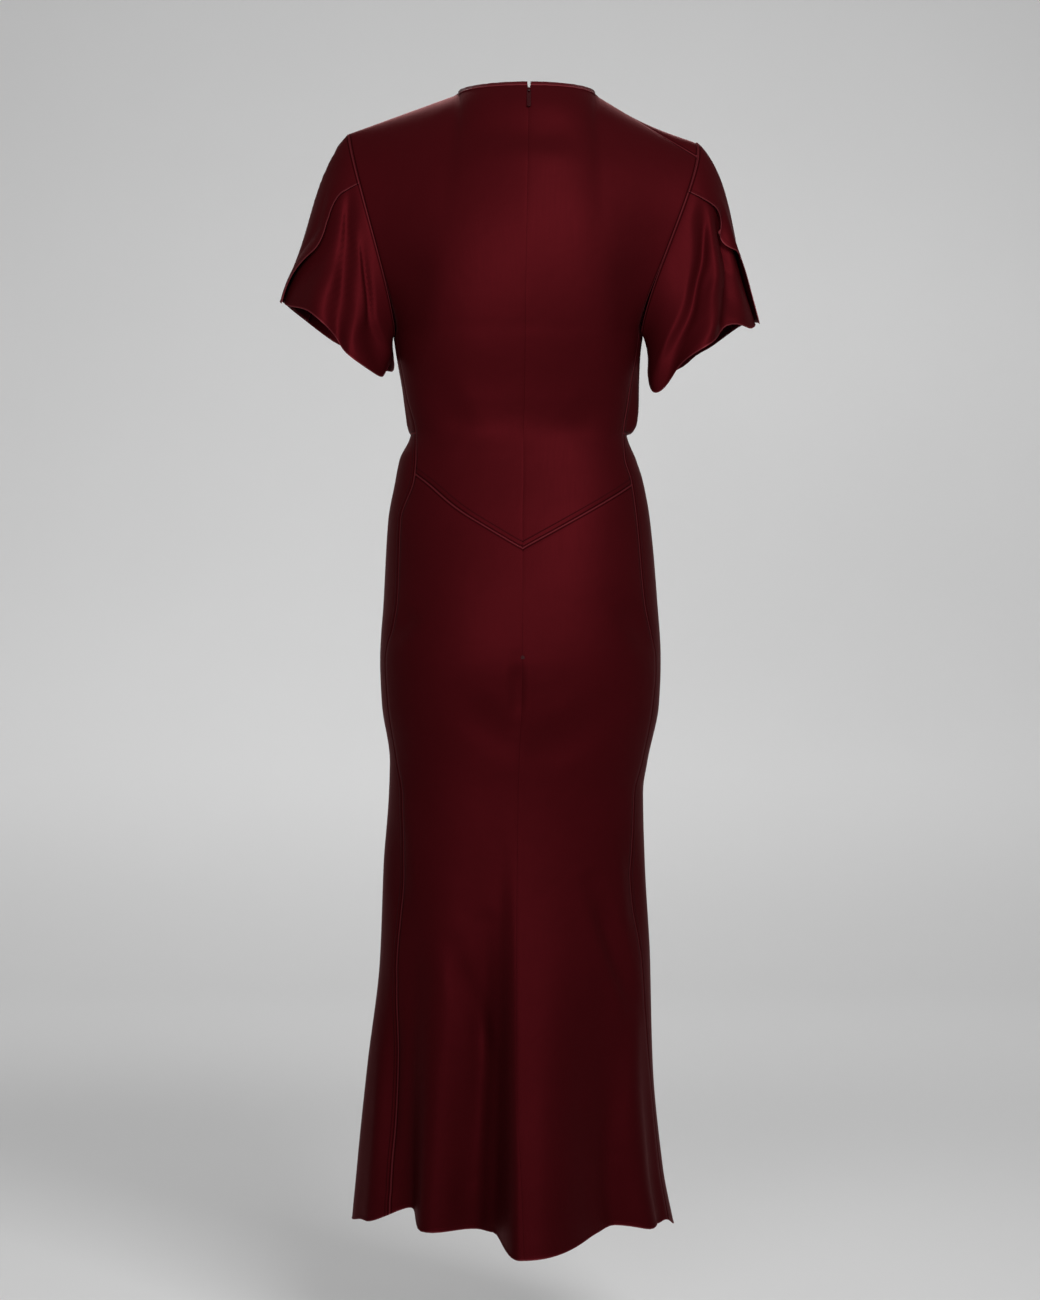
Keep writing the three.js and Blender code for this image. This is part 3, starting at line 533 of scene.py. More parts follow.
# %% Back of the bodice
OTHER = {"left": "right", "right": "left"}
UPPER_SHARE = 0.57  # share of the bodice's length that lies above the chest
ZIP_OPENING = 3.4  # how far the edges part above the zip's slider
ZIP_PARTED = 14  # and how far down from the neck they do


def from_centre(name, share):
    """Grids run from left to right, so on the left side the centre back is at 1."""
    return 1 - share if name == "left" else share


def across_back(share):
    return squared(np.sin(share * V_TURN)) / squared(np.sin(V_TURN))


def lower_back(side, share, down):
    """The back between the chest at 0 and the pointed seam at 1."""
    waist = 5 / 7  # the side seam's own waist row
    v_end = side["v_end"]
    above, below = mix(CHEST_Z, WAIST_Z, down / waist), mix(WAIST_Z, v_end, (down - waist) / (1 - waist))
    side_z = np.where(down < waist, above, below)
    z = mix(mix(CHEST_Z, V_POINT_Z, down), side_z, across_back(share))
    turn = mix(seam_turn("seam_back", z), seam_turn(side["seam"], z), share)
    return body_point(turn, z)


def parted(side, points, inward):
    """Moves the edge at the centre back aside, above the zip's slider."""
    apart = ZIP_OPENING / 2 * ease(1 - np.linalg.norm(points - NECK_BACK, axis=-1) / ZIP_PARTED)
    points[..., 0] += side["side"] * apart * bump(inward / 0.2)
    return points


def back_place(name, inward, drop):
    """A point of the back of the bodice, from the centre back at 0 to the side at 1."""
    side = SHOULDERS[name]
    upper = back_curve(side, inward, clamp(1 - drop / UPPER_SHARE))
    lower = lower_back(side, inward, clamp((drop - UPPER_SHARE) / (1 - UPPER_SHARE)))
    return parted(side, creased(np.where(column(drop <= UPPER_SHARE), upper, lower)), inward)


def back_bodice(name):
    def place(share, drop):
        return back_place(name, from_centre(name, share), drop)

    def top_seam(share):
        return np.where(from_centre(name, share) < NECK_SHARE, -1, 1)

    return cloth_panel(
        f"bodice_back_{name}", place, (190, 500), seams=("left", "right", "bottom"), pressed=("bottom",),
        press_at=7.5, top_seam=top_seam, faint=(OTHER[name],),
    )


backs = {name: back_bodice(name) for name in SHOULDERS}

# %% [markdown]
# The front bodice is one piece from armhole to armhole. It is hidden from behind except at its sides.

# %% Front of the bodice
FRONT_UPPER = 0.62


def front_place(share, drop):
    upper = front_curve(share, clamp(1 - drop / FRONT_UPPER))
    z = mix(CHEST_Z, WAIST_Z, clamp((drop - FRONT_UPPER) / (1 - FRONT_UPPER)))
    return creased(np.where(column(drop <= FRONT_UPPER), upper, bloused(front_turn(share, z), z)))


def front_top(share):
    return np.where(np.minimum(share, 1 - share) < SHOULDER_SHARE, 1, -1)


front = cloth_panel(
    "bodice_front", front_place, (430, 330), seams=("left", "right", "bottom"), top_seam=front_top
)

# %% [markdown]
# The skirt has four kinds of panel: two back halves under the pointed seam, two side panels that reach up
# to the waist, and the front.

# %% Skirt panels
SKIRT_CROWD = {"left": 0.45, "right": 0.0}


def back_skirt_place(name, inward, drop):
    side = SHOULDERS[name]
    inward = inward ** (1 + SKIRT_CROWD[name] * drop)
    z = mix(mix(V_POINT_Z, HEM_Z, drop), mix(side["v_end"], HEM_Z, drop), across_back(inward))
    return creased(skirt_point(mix(seam_turn("seam_back", z), seam_turn(side["seam"], z), inward), z))


def back_skirt(name):
    def place(share, drop):
        return back_skirt_place(name, from_centre(name, share), drop)

    return cloth_panel(
        f"skirt_back_{name}", place, (185, 800), seams=("left", "right", "top"), hems=("bottom",),
        faint=(OTHER[name],),
    )


def side_skirt(name):
    def place(share, drop):
        z = mix(WAIST_Z, HEM_Z, drop)
        if name == "left":
            turn = mix(-FRONT_SEAM, seam_turn("seam_left", z), share)
        else:
            turn = mix(seam_turn("seam_right", z), FRONT_SEAM, share)
        return creased(skirt_point(turn, z))

    return cloth_panel(
        f"skirt_side_{name}", place, (130, 880), seams=("left", "right", "top"), hems=("bottom",),
        pressed=(OTHER[name],), press_at=5.5,
    )


def skirt_front_place(share, drop):
    return creased(skirt_point(mix(FRONT_SEAM, 2 * np.pi - FRONT_SEAM, share), mix(WAIST_Z, HEM_Z, drop)))


skirts = {name: (back_skirt(name), side_skirt(name)) for name in SHOULDERS}
skirt_front = cloth_panel(
    "skirt_front", skirt_front_place, (300, 880), seams=("left", "right", "top"), hems=("bottom",)
)

# %% [markdown]
# Each short sleeve is two petals that overlap: the front one lies over the back one on the outer arm. Both
# hang from the armhole as curves to a hem that runs round the arm.

# %% Sleeve hems
SLEEVE_HEMS = {
    "left": [
        (-143, -4, -304), (-150, -42, -325), (-188, -72, -305), (-206, -68, -281), (-232, -56, -255),
        (-262, -20, -243), (-266, 6, -236), (-252, 46, -246), (-212, 70, -276), (-170, 58, -304),
        (-147, 30, -312),
    ],
    "right": [
        (145, -4, -308), (148, -43, -343), (174, -66, -316), (212, -66, -290), (238, -46, -267),
        (259, -22, -269), (266, 6, -261), (252, 46, -258), (214, 70, -284), (172, 58, -312),
        (149, 30, -322),
    ],
}
# A fold runs down the sleeve. Its row says how far it stands out at its middle, how wide each flank is, and
# the line that it follows, as (fall, place round the armhole).
FRONT_FOLDS = [(-8, 0.05, [(0.1, 0.7), (1, 0.76)]), (6, 0.05, [(0.2, 0.84), (1, 0.86)])]
SLEEVE_FOLDS = {
    "left": [
        (-10, 0.055, [(0.1, 0.34), (0.3, 0.262), (0.6, 0.182), (1, 0.136)]),
        (-7, 0.05, [(0.12, 0.26), (0.2, 0.2), (0.4, 0.085), (1, 0.03)]),
        (5, 0.05, [(0.2, 0.31), (0.45, 0.25), (1, 0.2)]),
    ],
    "right": [
        (-9.5, 0.055, [(0.15, 0.37), (0.3, 0.308), (0.43, 0.206), (0.64, 0.116), (1, 0.07)]),
        (-11, 0.055, [(0.3, 0.42), (0.5, 0.385), (0.62, 0.3), (0.84, 0.234), (1, 0.2)]),
        (6, 0.045, [(0.3, 0.35), (0.45, 0.3), (0.62, 0.212), (1, 0.14)]),
    ],
}
# The free edge of each front petal, as (fall, place round the armhole).
FREE_EDGES = {
    "left": [
        (0, 0.352), (0.12, 0.368), (0.25, 0.378), (0.34, 0.35), (0.46, 0.303), (0.75, 0.309), (1, 0.304),
    ],
    "right": [
        (0, 0.385), (0.16, 0.408), (0.31, 0.429), (0.45, 0.404), (0.66, 0.412), (0.82, 0.4), (1, 0.335),
    ],
}
OVERLAP = (0.35, 0.65)  # round the armhole, where the front petal lies on the back petal
OVERLAP_HEM = (0.53, 0.66)  # and round the hem
ARM_X = 205
PETAL_LIFT = (1.5, 3)  # how far the front petal stands off the back petal, at the armhole and more at the hem
FREE_CURL = 4  # how far the free edge of the front petal curls out


def closed_curve(points, share):
    """A centripetal Catmull-Rom curve through a closed ring of points."""
    points = np.array(points, float)
    count = len(points)
    place = (np.asarray(share, float) % 1) * count
    k = np.floor(place).astype(int)
    t = column(place - k)
    p0, p1, p2, p3 = (points[(k + i) % count] for i in (-1, 0, 1, 2))
    d0, d1, d2 = (column(np.sqrt(np.linalg.norm(b - a, axis=-1))) for a, b in ((p0, p1), (p1, p2), (p2, p3)))
    start = ((p1 - p0) / d0 - (p2 - p0) / (d0 + d1) + (p2 - p1) / d1) * d1
    end = ((p2 - p1) / d1 - (p3 - p1) / (d1 + d2) + (p3 - p2) / d2) * d1
    return p1 + start * t + (3 * (p2 - p1) - 2 * start - end) * t**2 + (2 * (p1 - p2) + start + end) * t**3


def armhole(side, place):
    """The armhole from the underarm at 0 up the back to the tip at 0.5, and down the front to 1."""
    back = back_curve(side, np.ones_like(place), clamp(2 * place))
    edge = 1.0 if side["side"] < 0 else 0.0
    front_edge = front_curve(np.full_like(place, edge), clamp(2 - 2 * place))
    return np.where(column(place <= 0.5), back, front_edge)


def hem_share(place):
    first = OVERLAP_HEM[0] * clamp(place / OVERLAP[0]) ** 0.85
    rest = np.interp(place, [*OVERLAP, 1], [*OVERLAP_HEM, 1])
    return np.where(place <= OVERLAP[0], first, rest)


def sleeve_point(name, place, drop):
    side = SHOULDERS[name]
    start = armhole(side, place)
    share = hem_share(place)
    end = closed_curve(SLEEVE_HEMS[name], share)
    over = np.sin(place * np.pi)
    deep = -np.sin(place * 2 * np.pi)
    length = column(np.linalg.norm(end - start, axis=-1))
    sideways = side["side"] * mix(0.45, side["leave"], over)
    leave = unit(np.stack([sideways, 0.3 * deep, mix(-0.9, -0.8, over)], -1))
    hang = unit(np.stack([side["side"] * -0.3 * over, 0 * over, 0 * over + 1], -1))
    points = bezier(start, start + leave * length * 0.3, end + hang * length * 0.34, end, drop)
    away = points - np.array([side["side"] * ARM_X, 0, 0])
    away[..., 2] = 0
    away = unit(away)
    for out, wide, line in SLEEVE_FOLDS[name] + FRONT_FOLDS:
        falls, places = zip(*line)
        off = (place - along_line(falls, places, drop)) / wide
        points = points + away * column(out * bump(off) * ease((drop - falls[0] + 0.08) / 0.22))
    return points


def along_line(falls, places, drop):
    """A soft curve through a short line of values: the line is averaged over a small stretch of fall."""
    soft = 0.07
    return sum(np.interp(drop + d, falls, places) for d in (-soft, -soft / 2, 0, soft / 2, soft)) / 5


def sleeve_petal(name, which):
    falls, edge = zip(*FREE_EDGES[name])

    def round_arm(share, drop):
        start = 0 if which == "back" else along_line(falls, edge, drop)
        return mix(start, OVERLAP[1] if which == "back" else 1, from_centre(name, share))

    def place(share, drop):
        return sleeve_point(name, round_arm(share, drop), drop)

    def lift(share, drop):
        place = round_arm(share, drop)
        over = ease((1 - place) / (1 - OVERLAP[1] - 0.05))
        curl = FREE_CURL * bump((place - along_line(falls, edge, drop)) / 0.07) * bump((drop - 0.55) / 0.55)
        return over * (PETAL_LIFT[0] + PETAL_LIFT[1] * ease(drop)) + curl

    free = OTHER[name] if which == "front" else name
    return cloth_panel(
        f"sleeve_{which}_petal_{name}", place, (330, 260), seams=("top", OTHER[free]), hems=("bottom", free),
        lift=lift if which == "front" else None,
    )


petals = {(name, which): sleeve_petal(name, which) for name in SHOULDERS for which in ("back", "front")}

# %% [markdown]
# The neck is bound: a narrow bias strip is folded over the raw edge and stitched down on both sides. The
# strip is a grid again, swept along the neck edge with a section like an upturned U.

# %% Neck binding
BIND_UP = 2.3  # how far the fold stands above the edge of the cloth
BIND_DOWN = 3.8  # how far it reaches down on each side
BIND_OUT = 0.55  # how far its outer side stands off the cloth's face
BIND_IN = -1.3
BIND_WALL = 0.35


def neck_edge():
    """The neck edge from the centre back round by the right and the front, and the way down the cloth."""
    near = np.linspace(0, NECK_SHARE, 60)
    middle = np.linspace(SHOULDER_SHARE, 1 - SHOULDER_SHARE, 150)
    lines = []
    for t in (1.0, 0.97):
        right = parted(SHOULDERS["right"], back_curve(SHOULDERS["right"], near, t), near)
        left = parted(SHOULDERS["left"], back_curve(SHOULDERS["left"], near, t), near)
        lines.append(np.concatenate([right, front_curve(middle, t)[1:], left[::-1][1:]]))
    return lines[0], unit(lines[1] - lines[0])


def soft_line(values, rounds):
    """Averages a line with its neighbours a few times, its ends kept."""
    for _ in range(rounds):
        values = np.concatenate([values[:1], (values[:-2] + 2 * values[1:-1] + values[2:]) / 4, values[-1:]])
    return values


def neck_binding():
    edge, down = neck_edge()
    along = unit(np.gradient(edge, axis=0))
    out = unit(soft_line(np.cross(down, along), 6))
    down = unit(np.cross(along, out))
    radius = (BIND_OUT - BIND_IN) / 2
    turn = np.linspace(0, np.pi, 9)
    fold = [(-BIND_UP + radius - radius * math.sin(a), BIND_IN + radius + radius * math.cos(a)) for a in turn]
    outside = [(BIND_DOWN, BIND_OUT - 0.3), (BIND_DOWN - 0.7, BIND_OUT), (0, BIND_OUT)]
    profile = np.array([*outside, *fold, (0, BIND_IN), (BIND_DOWN, BIND_IN)])
    low, high = profile.T[..., None, None]
    points = edge[None] + down[None] * low + out[None] * high
    distances = edge_distances(points)
    ruffle = 0.12 * np.sin(distances["left"] / 2.1) * np.sin(distances["left"] / 13)
    points = points + out[None] * column(ruffle)
    ends = np.minimum(distances["left"], distances["right"])
    fields = {"seam": distances["top"], "hem": ends, "press": distances["bottom"]}
    return panel_mesh("neck_binding_cloth", points, fields, (distances["left"], distances["top"]), BIND_WALL)


binding = neck_binding()

# %% [markdown]
# The zip is a concealed one. Its tapes lie behind the two edges of the centre back, and its coils behind
# the tapes. Only the slider's arch and its pull tab come out through the opening at the neck.

# %% Zip tapes and coils
TAPE_WIDTH = 11
TAPE_DEEP = 1.15  # from the face of the cloth in to the tape
TAPE_WALL = 0.6
TAPE_START = 6.5  # from the neck edge down to the top of the tapes
ZIP_LENGTH = 660
COIL_DEEP = 2.5
COIL_STEP = 0.8
COIL_START = 18
COIL_REACH = 2.1  # from the middle to the side of a coil
COIL_WIRE = 0.26


def centre_line(name, inward):
    """The line down the back at a small share from the centre, its way down and its way out."""
    inward = np.full(600, float(inward))
    drops = np.linspace(0, 1, 600)
    bodice = back_place(name, inward, drops)
    skirt = back_skirt_place(name, inward[:300], drops[:300] * 0.6)
    line = np.concatenate([bodice, skirt[1:]])
    far = np.concatenate([[0], np.cumsum(np.linalg.norm(np.diff(line, axis=0), axis=-1))])
    return line, far


def line_at(line, far, distance):
    return np.stack([np.interp(distance, far, line[:, axis]) for axis in range(3)], -1)


def zip_tape(name):
    steps = np.arange(TAPE_START, ZIP_LENGTH, 2.5)
    edge, beside = (line_at(*centre_line(name, inward), steps) for inward in (0, 0.1))
    away = unit(beside - edge)
    down = unit(np.gradient(soft_line(edge, 4), axis=0))
    out = unit(np.cross(down, away)) * SHOULDERS[name]["side"]
    across = np.linspace(0.15, TAPE_WIDTH, 6)
    across = across if name == "right" else across[::-1]
    points = edge[:, None] + away[:, None] * across[None, :, None] - out[:, None] * TAPE_DEEP
    distances = edge_distances(points)
    return panel_mesh(f"zip_tape_{name}_cloth", points, {}, (distances["left"], distances["top"]), TAPE_WALL)


tapes = {name: zip_tape(name) for name in SHOULDERS}


def skin(bm, rings):
    """Faces from ring to ring, and one on each end."""
    count = len(rings[0])
    for ring, after in zip(rings, rings[1:]):
        for i in range(count):
            j = (i + 1) % count
            bm.faces.new((ring[i], ring[j], after[j], after[i]))
    bm.faces.new(rings[0][::-1])
    bm.faces.new(rings[-1])


def tube(bm, path, radius, sides=6):
    """A closed round rod through a few points."""
    path = np.array(path, float)
    along = unit(np.gradient(path, axis=0))
    side = unit(np.cross(along, np.array([0.31, 0.52, 0.8])))
    other = np.cross(along, side)
    turns = np.linspace(0, 2 * np.pi, sides, endpoint=False)
    skin(bm, [
        [bm.verts.new(Vector(point + (a * math.cos(t) + b * math.sin(t)) * radius) * MM) for t in turns]
        for point, a, b in zip(path, side, other)
    ])


def closed_piece(bm, name):
    bmesh.ops.recalc_face_normals(bm, faces=bm.faces)
    return piece_from(bm, name)


def zip_coils():
    """One small bent loop after the other, from the left tape and from the right one in turn."""
    line, far = centre_line("right", 0)
    line = soft_line(line, 12)
    steps = np.arange(COIL_START, ZIP_LENGTH - 3, COIL_STEP)
    places = line_at(line, far, steps)
    down = unit(np.gradient(places, axis=0))
    across = unit(np.array([1.0, 0, 0]) - down * down[:, :1])
    out = np.cross(across, down)
    bm = bmesh.new()
    for k, (place, d, a, o) in enumerate(zip(places, down, across, out)):
        way = a if k % 2 else -a
        flip = o if o[1] < 0 else -o
        low = place - flip * (COIL_DEEP + 0.5)
        reach, bend = low + way * COIL_REACH, low - way * 0.75 - flip * 0.55
        tube(bm, [reach - d * 0.15, low - way * 0.3, bend, reach - flip * 0.8 + d * 0.15], COIL_WIRE, 5)
    return closed_piece(bm, "zip_coils")


coils = zip_coils()
print("zip coils", len(coils.data.polygons))

# %% [markdown]
# The slider sits just under the neck. Its body is behind the cloth, a thin neck comes through the opening,
# and an arch on it holds the bar of the pull tab. The tab is a stamped plate with a round end and a window.

# %% Slider and pull tab
SLIDER_TOP, SLIDER_LENGTH, SLIDER_WIDE = 7.5, 9.0, 5.0
SLIDER_DEEP, SLIDER_THICK = 3.1, 2.0
ARCH = [
    (9.0, -3.4), (9.0, 1.5), (9.25, 2.15), (9.9, 2.45), (13.1, 2.45), (13.8, 2.15), (14.1, 1.5), (14.1, 0.6),
]
ARCH_WIDE, ARCH_THICK = 1.6, 1.0
TAB_AXIS, TAB_END, TAB_WINDOW = 11.4, 37.0, 15.8  # how far down its bar, its end and its window's end lie
TAB_WIDE, TAB_THICK, TAB_RAIL, TAB_OUT = 4.4, 1.0, 1.0, 1.0
DIMPLE_UP, DIMPLE_WIDE, DIMPLE_LONG = 7, 0.9, 4.5


def zip_frame():
    """The place where the zip's parts are drawn: across, up along the cloth, and out from it."""
    top, below = (back_curve(SHOULDERS["right"], 0.0, t) for t in (1.0, 0.9))
    up = unit(top - below)
    sideways = unit(np.array([1.0, 0, 0]) - up * up[0])
    return top, sideways, up, np.cross(sideways, up)


ZIP_TOP, ZIP_ACROSS, ZIP_UP, ZIP_OUT = zip_frame()


def zip_place(x, down, out):
    return ZIP_TOP + ZIP_ACROSS * x - ZIP_UP * down + ZIP_OUT * out


def mirrored(outline):
    return [(-x, y) for x, y in outline[::-1]]


def arc(wide, deep, middle, turns):
    return [(wide * math.cos(a), middle + deep * math.sin(a)) for a in turns]


def rounded_plate(bm, outline, low, high, soften):
    """A plate from a flat outline of (across, down), with its edges rounded."""
    ring = [bm.verts.new(Vector(zip_place(x, y, low)) * MM) for x, y in outline]
    face = bm.faces.new(ring)
    raised = bmesh.ops.extrude_face_region(bm, geom=[face])["geom"]
    raised = [v for v in raised if isinstance(v, bmesh.types.BMVert)]
    bmesh.ops.translate(bm, vec=Vector(ZIP_OUT) * (high - low) * MM, verts=raised)
    edges = {e for v in ring + raised for e in v.link_edges}
    sharp = [e for e in edges if e.calc_face_angle(0) > 0.9]
    bmesh.ops.bevel(
        bm, geom=sharp, offset=soften * MM, offset_type="OFFSET", segments=2, profile=0.5,
        affect="EDGES", material=-1,
    )


def strap(bm, path, wide, thick):
    """A bent strap of (down, out) points, as the slider's arch."""
    path = np.array(path, float)
    run = unit(np.gradient(path, axis=0))
    normal = np.stack([-run[:, 1], run[:, 0]], -1) * thick / 2
    right = [(wide / 2 - 0.25, 1.15), (wide / 2, 1), (wide / 2, -1)]
    corners = right + mirrored(right)
    skin(bm, [
        [bm.verts.new(Vector(zip_place(x, *(point + n * h))) * MM) for x, h in corners]
        for point, n in zip(path, normal)
    ])


def zip_slider():
    bm = bmesh.new()
    half, top, end = SLIDER_WIDE / 2, SLIDER_TOP, SLIDER_TOP + SLIDER_LENGTH
    shoulder, foot = top + 3.5, half - 0.8
    right = [(half - 0.8, top), (half, top + 0.9), (half, shoulder), (foot, end)]
    rounded_plate(bm, right + mirrored(right), -SLIDER_DEEP - SLIDER_THICK, -SLIDER_DEEP, 0.3)
    strap(bm, ARCH, ARCH_WIDE, ARCH_THICK)
    return closed_piece(bm, "zip_slider_metal")


def pull_tab():
    bm = bmesh.new()
    half, inner = TAB_WIDE / 2, TAB_WIDE / 2 - TAB_RAIL
    low, high, top = TAB_OUT - TAB_THICK / 2, TAB_OUT + TAB_THICK / 2, TAB_AXIS - 0.3
    round_end = arc(half, half, TAB_END - half, np.linspace(0, math.pi, 17))
    window = arc(inner, 0.6, TAB_WINDOW - 0.6, np.linspace(math.pi, 0, 7))
    rail = [(inner, TAB_AXIS + 0.2), (inner + 0.25, top), (half - 0.25, top), (half, TAB_AXIS + 0.2)]
    rounded_plate(bm, [*round_end, *mirrored(rail), *window, *rail], low, high, 0.22)
    tube(bm, [zip_place(x, TAB_AXIS, TAB_OUT) for x in np.linspace(-half + 0.1, half - 0.1, 4)], 0.45, 12)
    turns = np.linspace(0, 2 * math.pi, 16, endpoint=False)
    dimple = arc(DIMPLE_WIDE, DIMPLE_LONG, TAB_END - DIMPLE_UP, turns)
    rounded_plate(bm, dimple, high - 0.1, high + 0.12, 0.08)
    return closed_piece(bm, "zip_pull_tab_metal")


slider, tab = zip_slider(), pull_tab()

# %% [markdown]
# A few stitches close the seam where the zip ends, below the seat.

# %% End of the zip
def end_stitches():
    line, far = centre_line("right", 0)
    bm = bmesh.new()
    for k, wide in enumerate((1.5, 2.1, 1.8)):
        at = line_at(line, far, ZIP_LENGTH - 4 + k * 1.3)
        across = np.linspace(-wide, wide, 7)
        tube(bm, [at + np.array([x, -0.25 - 0.45 * math.cos(x / wide * 1.5), 0]) for x in across], 0.3)
    return closed_piece(bm, "zip_end_stitches")


stitches = end_stitches()

# %% [markdown]
# Shader maths is easier to read as sums than as a list of nodes. A wrapped socket adds one Math node for
# each sign, and every other node comes from one method that sets its options, then its inputs.

# %% Shader helpers
class Value:
    """A number in a shader that can be used in sums."""

    def __init__(self, shader, socket):
        self.shader, self.socket = shader, socket

    def __add__(self, other):
        return self.shader.maths("ADD", self, other)

    def __sub__(self, other):
        return self.shader.maths("SUBTRACT", self, other)

    def __rsub__(self, other):
        return self.shader.maths("SUBTRACT", other, self)

    def __mul__(self, other):
        return self.shader.maths("MULTIPLY", self, other)

    __radd__ = __add__


class Shader:
    """One procedural material with a Principled surface."""

    def __init__(self, name, **surface):
        self.material = bpy.data.materials.new(name)
        self.material.use_nodes = True
        self.tree = self.material.node_tree
        self.surface = self.tree.nodes["Principled BSDF"]
        names = {key: key.replace("_", " ").title().replace("Ior", "IOR") for key in surface}
        self.set(self.surface, {names[key]: value for key, value in surface.items()})

    def set(self, node, values):
        for key, value in values.items():
            socket = node.inputs[key]
            if isinstance(value, Value):
                self.tree.links.new(value.socket, socket)
            else:
                socket.default_value = value

    def node(self, kind, settings=(), values=(), output=0):
        node = self.tree.nodes.new(kind)
        for key, value in dict(settings).items():
            setattr(node, key, value)
        self.set(node, dict(values))
        return Value(self, node.outputs[output])

    def maths(self, operation, a, b):
        return self.node("ShaderNodeMath", {"operation": operation}, {0: a, 1: b})

    def field(self, name):
        """A number kept on the points of the mesh."""
        return self.node("ShaderNodeAttribute", {"attribute_name": name}, output="Fac")

    def fade(self, value, start, end):
        """1 where the value is at start, 0 where it has reached end."""
        values = {"Value": value, "From Min": start, "From Max": end, "To Min": 1.0, "To Max": 0.0}
        return self.node("ShaderNodeMapRange", {"interpolation_type": "SMOOTHSTEP"}, values)

    def blend(self, factor, a, b):
        values = {"Factor": factor, 6: a, 7: b}
        return self.node("ShaderNodeMix", {"data_type": "RGBA"}, values, output=2)

    def noise(self, place, scale, detail=2.0, rough=0.5):
        values = {"Vector": place, "Scale": scale, "Detail": detail, "Roughness": rough}
        return self.node("ShaderNodeTexNoise", (), values, output="Fac")

    def stretched(self, place, scale, turn=0.0):
        values = {"Vector": place, "Rotation": (0, 0, turn), "Scale": scale}
        return self.node("ShaderNodeMapping", {"vector_type": "POINT"}, values)

    def space(self, kind="Object"):
        return self.node("ShaderNodeTexCoord", output=kind)

    def relief(self, height, distance):
        values = {"Height": height, "Distance": distance, "Strength": 1.0}
        return self.node("ShaderNodeBump", (), values, output="Normal")


# %% [markdown]
# Satin shows its weave only as a soft sheen: the long floats of the warp reflect light in the colour of
# the dye when seen head on, and nearly white at grazing angles. Principled does that with a tinted
# specular. The seams, pressed allowances and rolled hems are drawn from the fields of each panel, with a
# painted highlight along them and painted shadow beside seams and under pressed allowances.

# %% The satin
SATIN_DEEP = (0.0245, 0.0017, 0.0025, 1)
SATIN_LIGHT = (0.033, 0.0023, 0.0034, 1)
# The next colour is a painted highlight: paler red along seams, rolled edges and the binding's edge, where
# the cloth turns to the light.
EDGE_HIGHLIGHT = (0.105, 0.018, 0.022, 1)  # along seams and rolled edges, where the cloth turns to the light
SHADE = (0.006, 0.0003, 0.0005, 1)  # in the shadow beside a seam and under a pressed allowance
DYE_TINT = (1.0, 0.075, 0.115, 1)


def satin():
    shader = Shader("satin", specular_tint=DYE_TINT, ior=1.12, metallic=0.32)
    cloth = shader.space("UV")
    place = shader.space()
    seam, hem, press = shader.field("seam"), shader.field("hem"), shader.field("press")
    cloudy = shader.noise(place, 9.0, 3.0)
    base = shader.blend(cloudy, SATIN_DEEP, SATIN_LIGHT)
    edge = shader.fade(hem, 0.5, 1.8)
    line = shader.fade(seam, 0.4, 1.3)
    ridge = shader.fade(shader.maths("ABSOLUTE", press - 1.0, 0.0), 0.03, 0.22)
    beside = shader.fade(shader.maths("ABSOLUTE", seam - 2.0, 0.0), 0.3, 1.1)
    # Painted highlight along rolled hems, seams and pressed ridges, then painted shadow beside seams and
    # under pressed allowances.
    base = shader.blend(edge * 0.6 + line * 0.36 + ridge * 0.06, base, EDGE_HIGHLIGHT)
    base = shader.blend(beside * 0.8 + ridge * 0.5, base, SHADE)
    warp = shader.noise(shader.stretched(cloth, (2600, 260, 1)), 1.0, 1.0)
    slub = shader.noise(shader.stretched(cloth, (420, 24, 1)), 1.0, 2.0)
    ripple = shader.noise(place, 22.0, 2.0)
    pressed = shader.fade(press, 0.86, 1.1) * 0.4
    groove = shader.fade(seam, 0.2, 1.6) * -0.3
    stitch = shader.fade(hem, 3.6, 4.4) * 0.18
    height = warp * 0.03 + slub * 0.05 + ripple * 0.9 + pressed + groove + stitch
    shader.set(shader.surface, {
        "Base Color": base,
        "Roughness": 0.46 + slub * 0.08,
        "Normal": shader.relief(height, MM),
    })
    return shader.material


SATIN = satin()

# %% [markdown]
# The binding is the same cloth cut on the bias, so its weave runs at a slant. The tape is a matt twill with
# slanting ribs. The slider and tab are die-cast and lacquered, a little rubbed where they are handled.

# %% Binding, tape and lacquer
def bias_binding():
    shader = Shader("binding", specular_tint=DYE_TINT, ior=1.38)
    cloth = shader.space("UV")
    warp = shader.noise(shader.stretched(cloth, (1500, 300, 1), math.radians(45)), 1.0, 1.0)
    pull = shader.noise(shader.stretched(cloth, (260, 40, 1)), 1.0, 2.0)
    low, high = shader.field("seam"), shader.field("press")
    edge = shader.fade(low, 0.4, 1.6)
    stitch = shader.fade(low, 0.9, 1.5) * 0.3
    base = shader.blend(pull, SATIN_DEEP, SATIN_LIGHT)
    shader.set(shader.surface, {
        # Painted highlight along the binding's stitched outer edge.
        "Base Color": shader.blend(edge * 0.5, base, EDGE_HIGHLIGHT),
        "Roughness": 0.48 + pull * 0.1,
        "Normal": shader.relief(warp * 0.04 + pull * 0.25 + stitch + shader.fade(high, 0.5, 1.5) * 0.1, MM),
    })
    return shader.material


def woven_tape():
    shader = Shader("zip_tape", ior=1.45, sheen_weight=0.03, sheen_roughness=0.5)
    cloth = shader.space("UV")
    bands = {"wave_type": "BANDS", "bands_direction": "DIAGONAL"}
    values = {"Vector": cloth, "Scale": 420.0, "Distortion": 1.5, "Detail": 1.0}
    ribs = shader.node("ShaderNodeTexWave", bands, values, output="Fac")
    fuzz = shader.noise(shader.space(), 900.0, 2.0)
    base = shader.blend(ribs * 0.7 + fuzz * 0.3, (0.014, 0.0016, 0.0026, 1), (0.034, 0.0042, 0.006, 1))
    shader.set(shader.surface, {
        "Base Color": base,
        "Roughness": 0.78 + fuzz * 0.12,
        "Normal": shader.relief(ribs * 0.18 + fuzz * 0.08, MM),
    })
    return shader.material


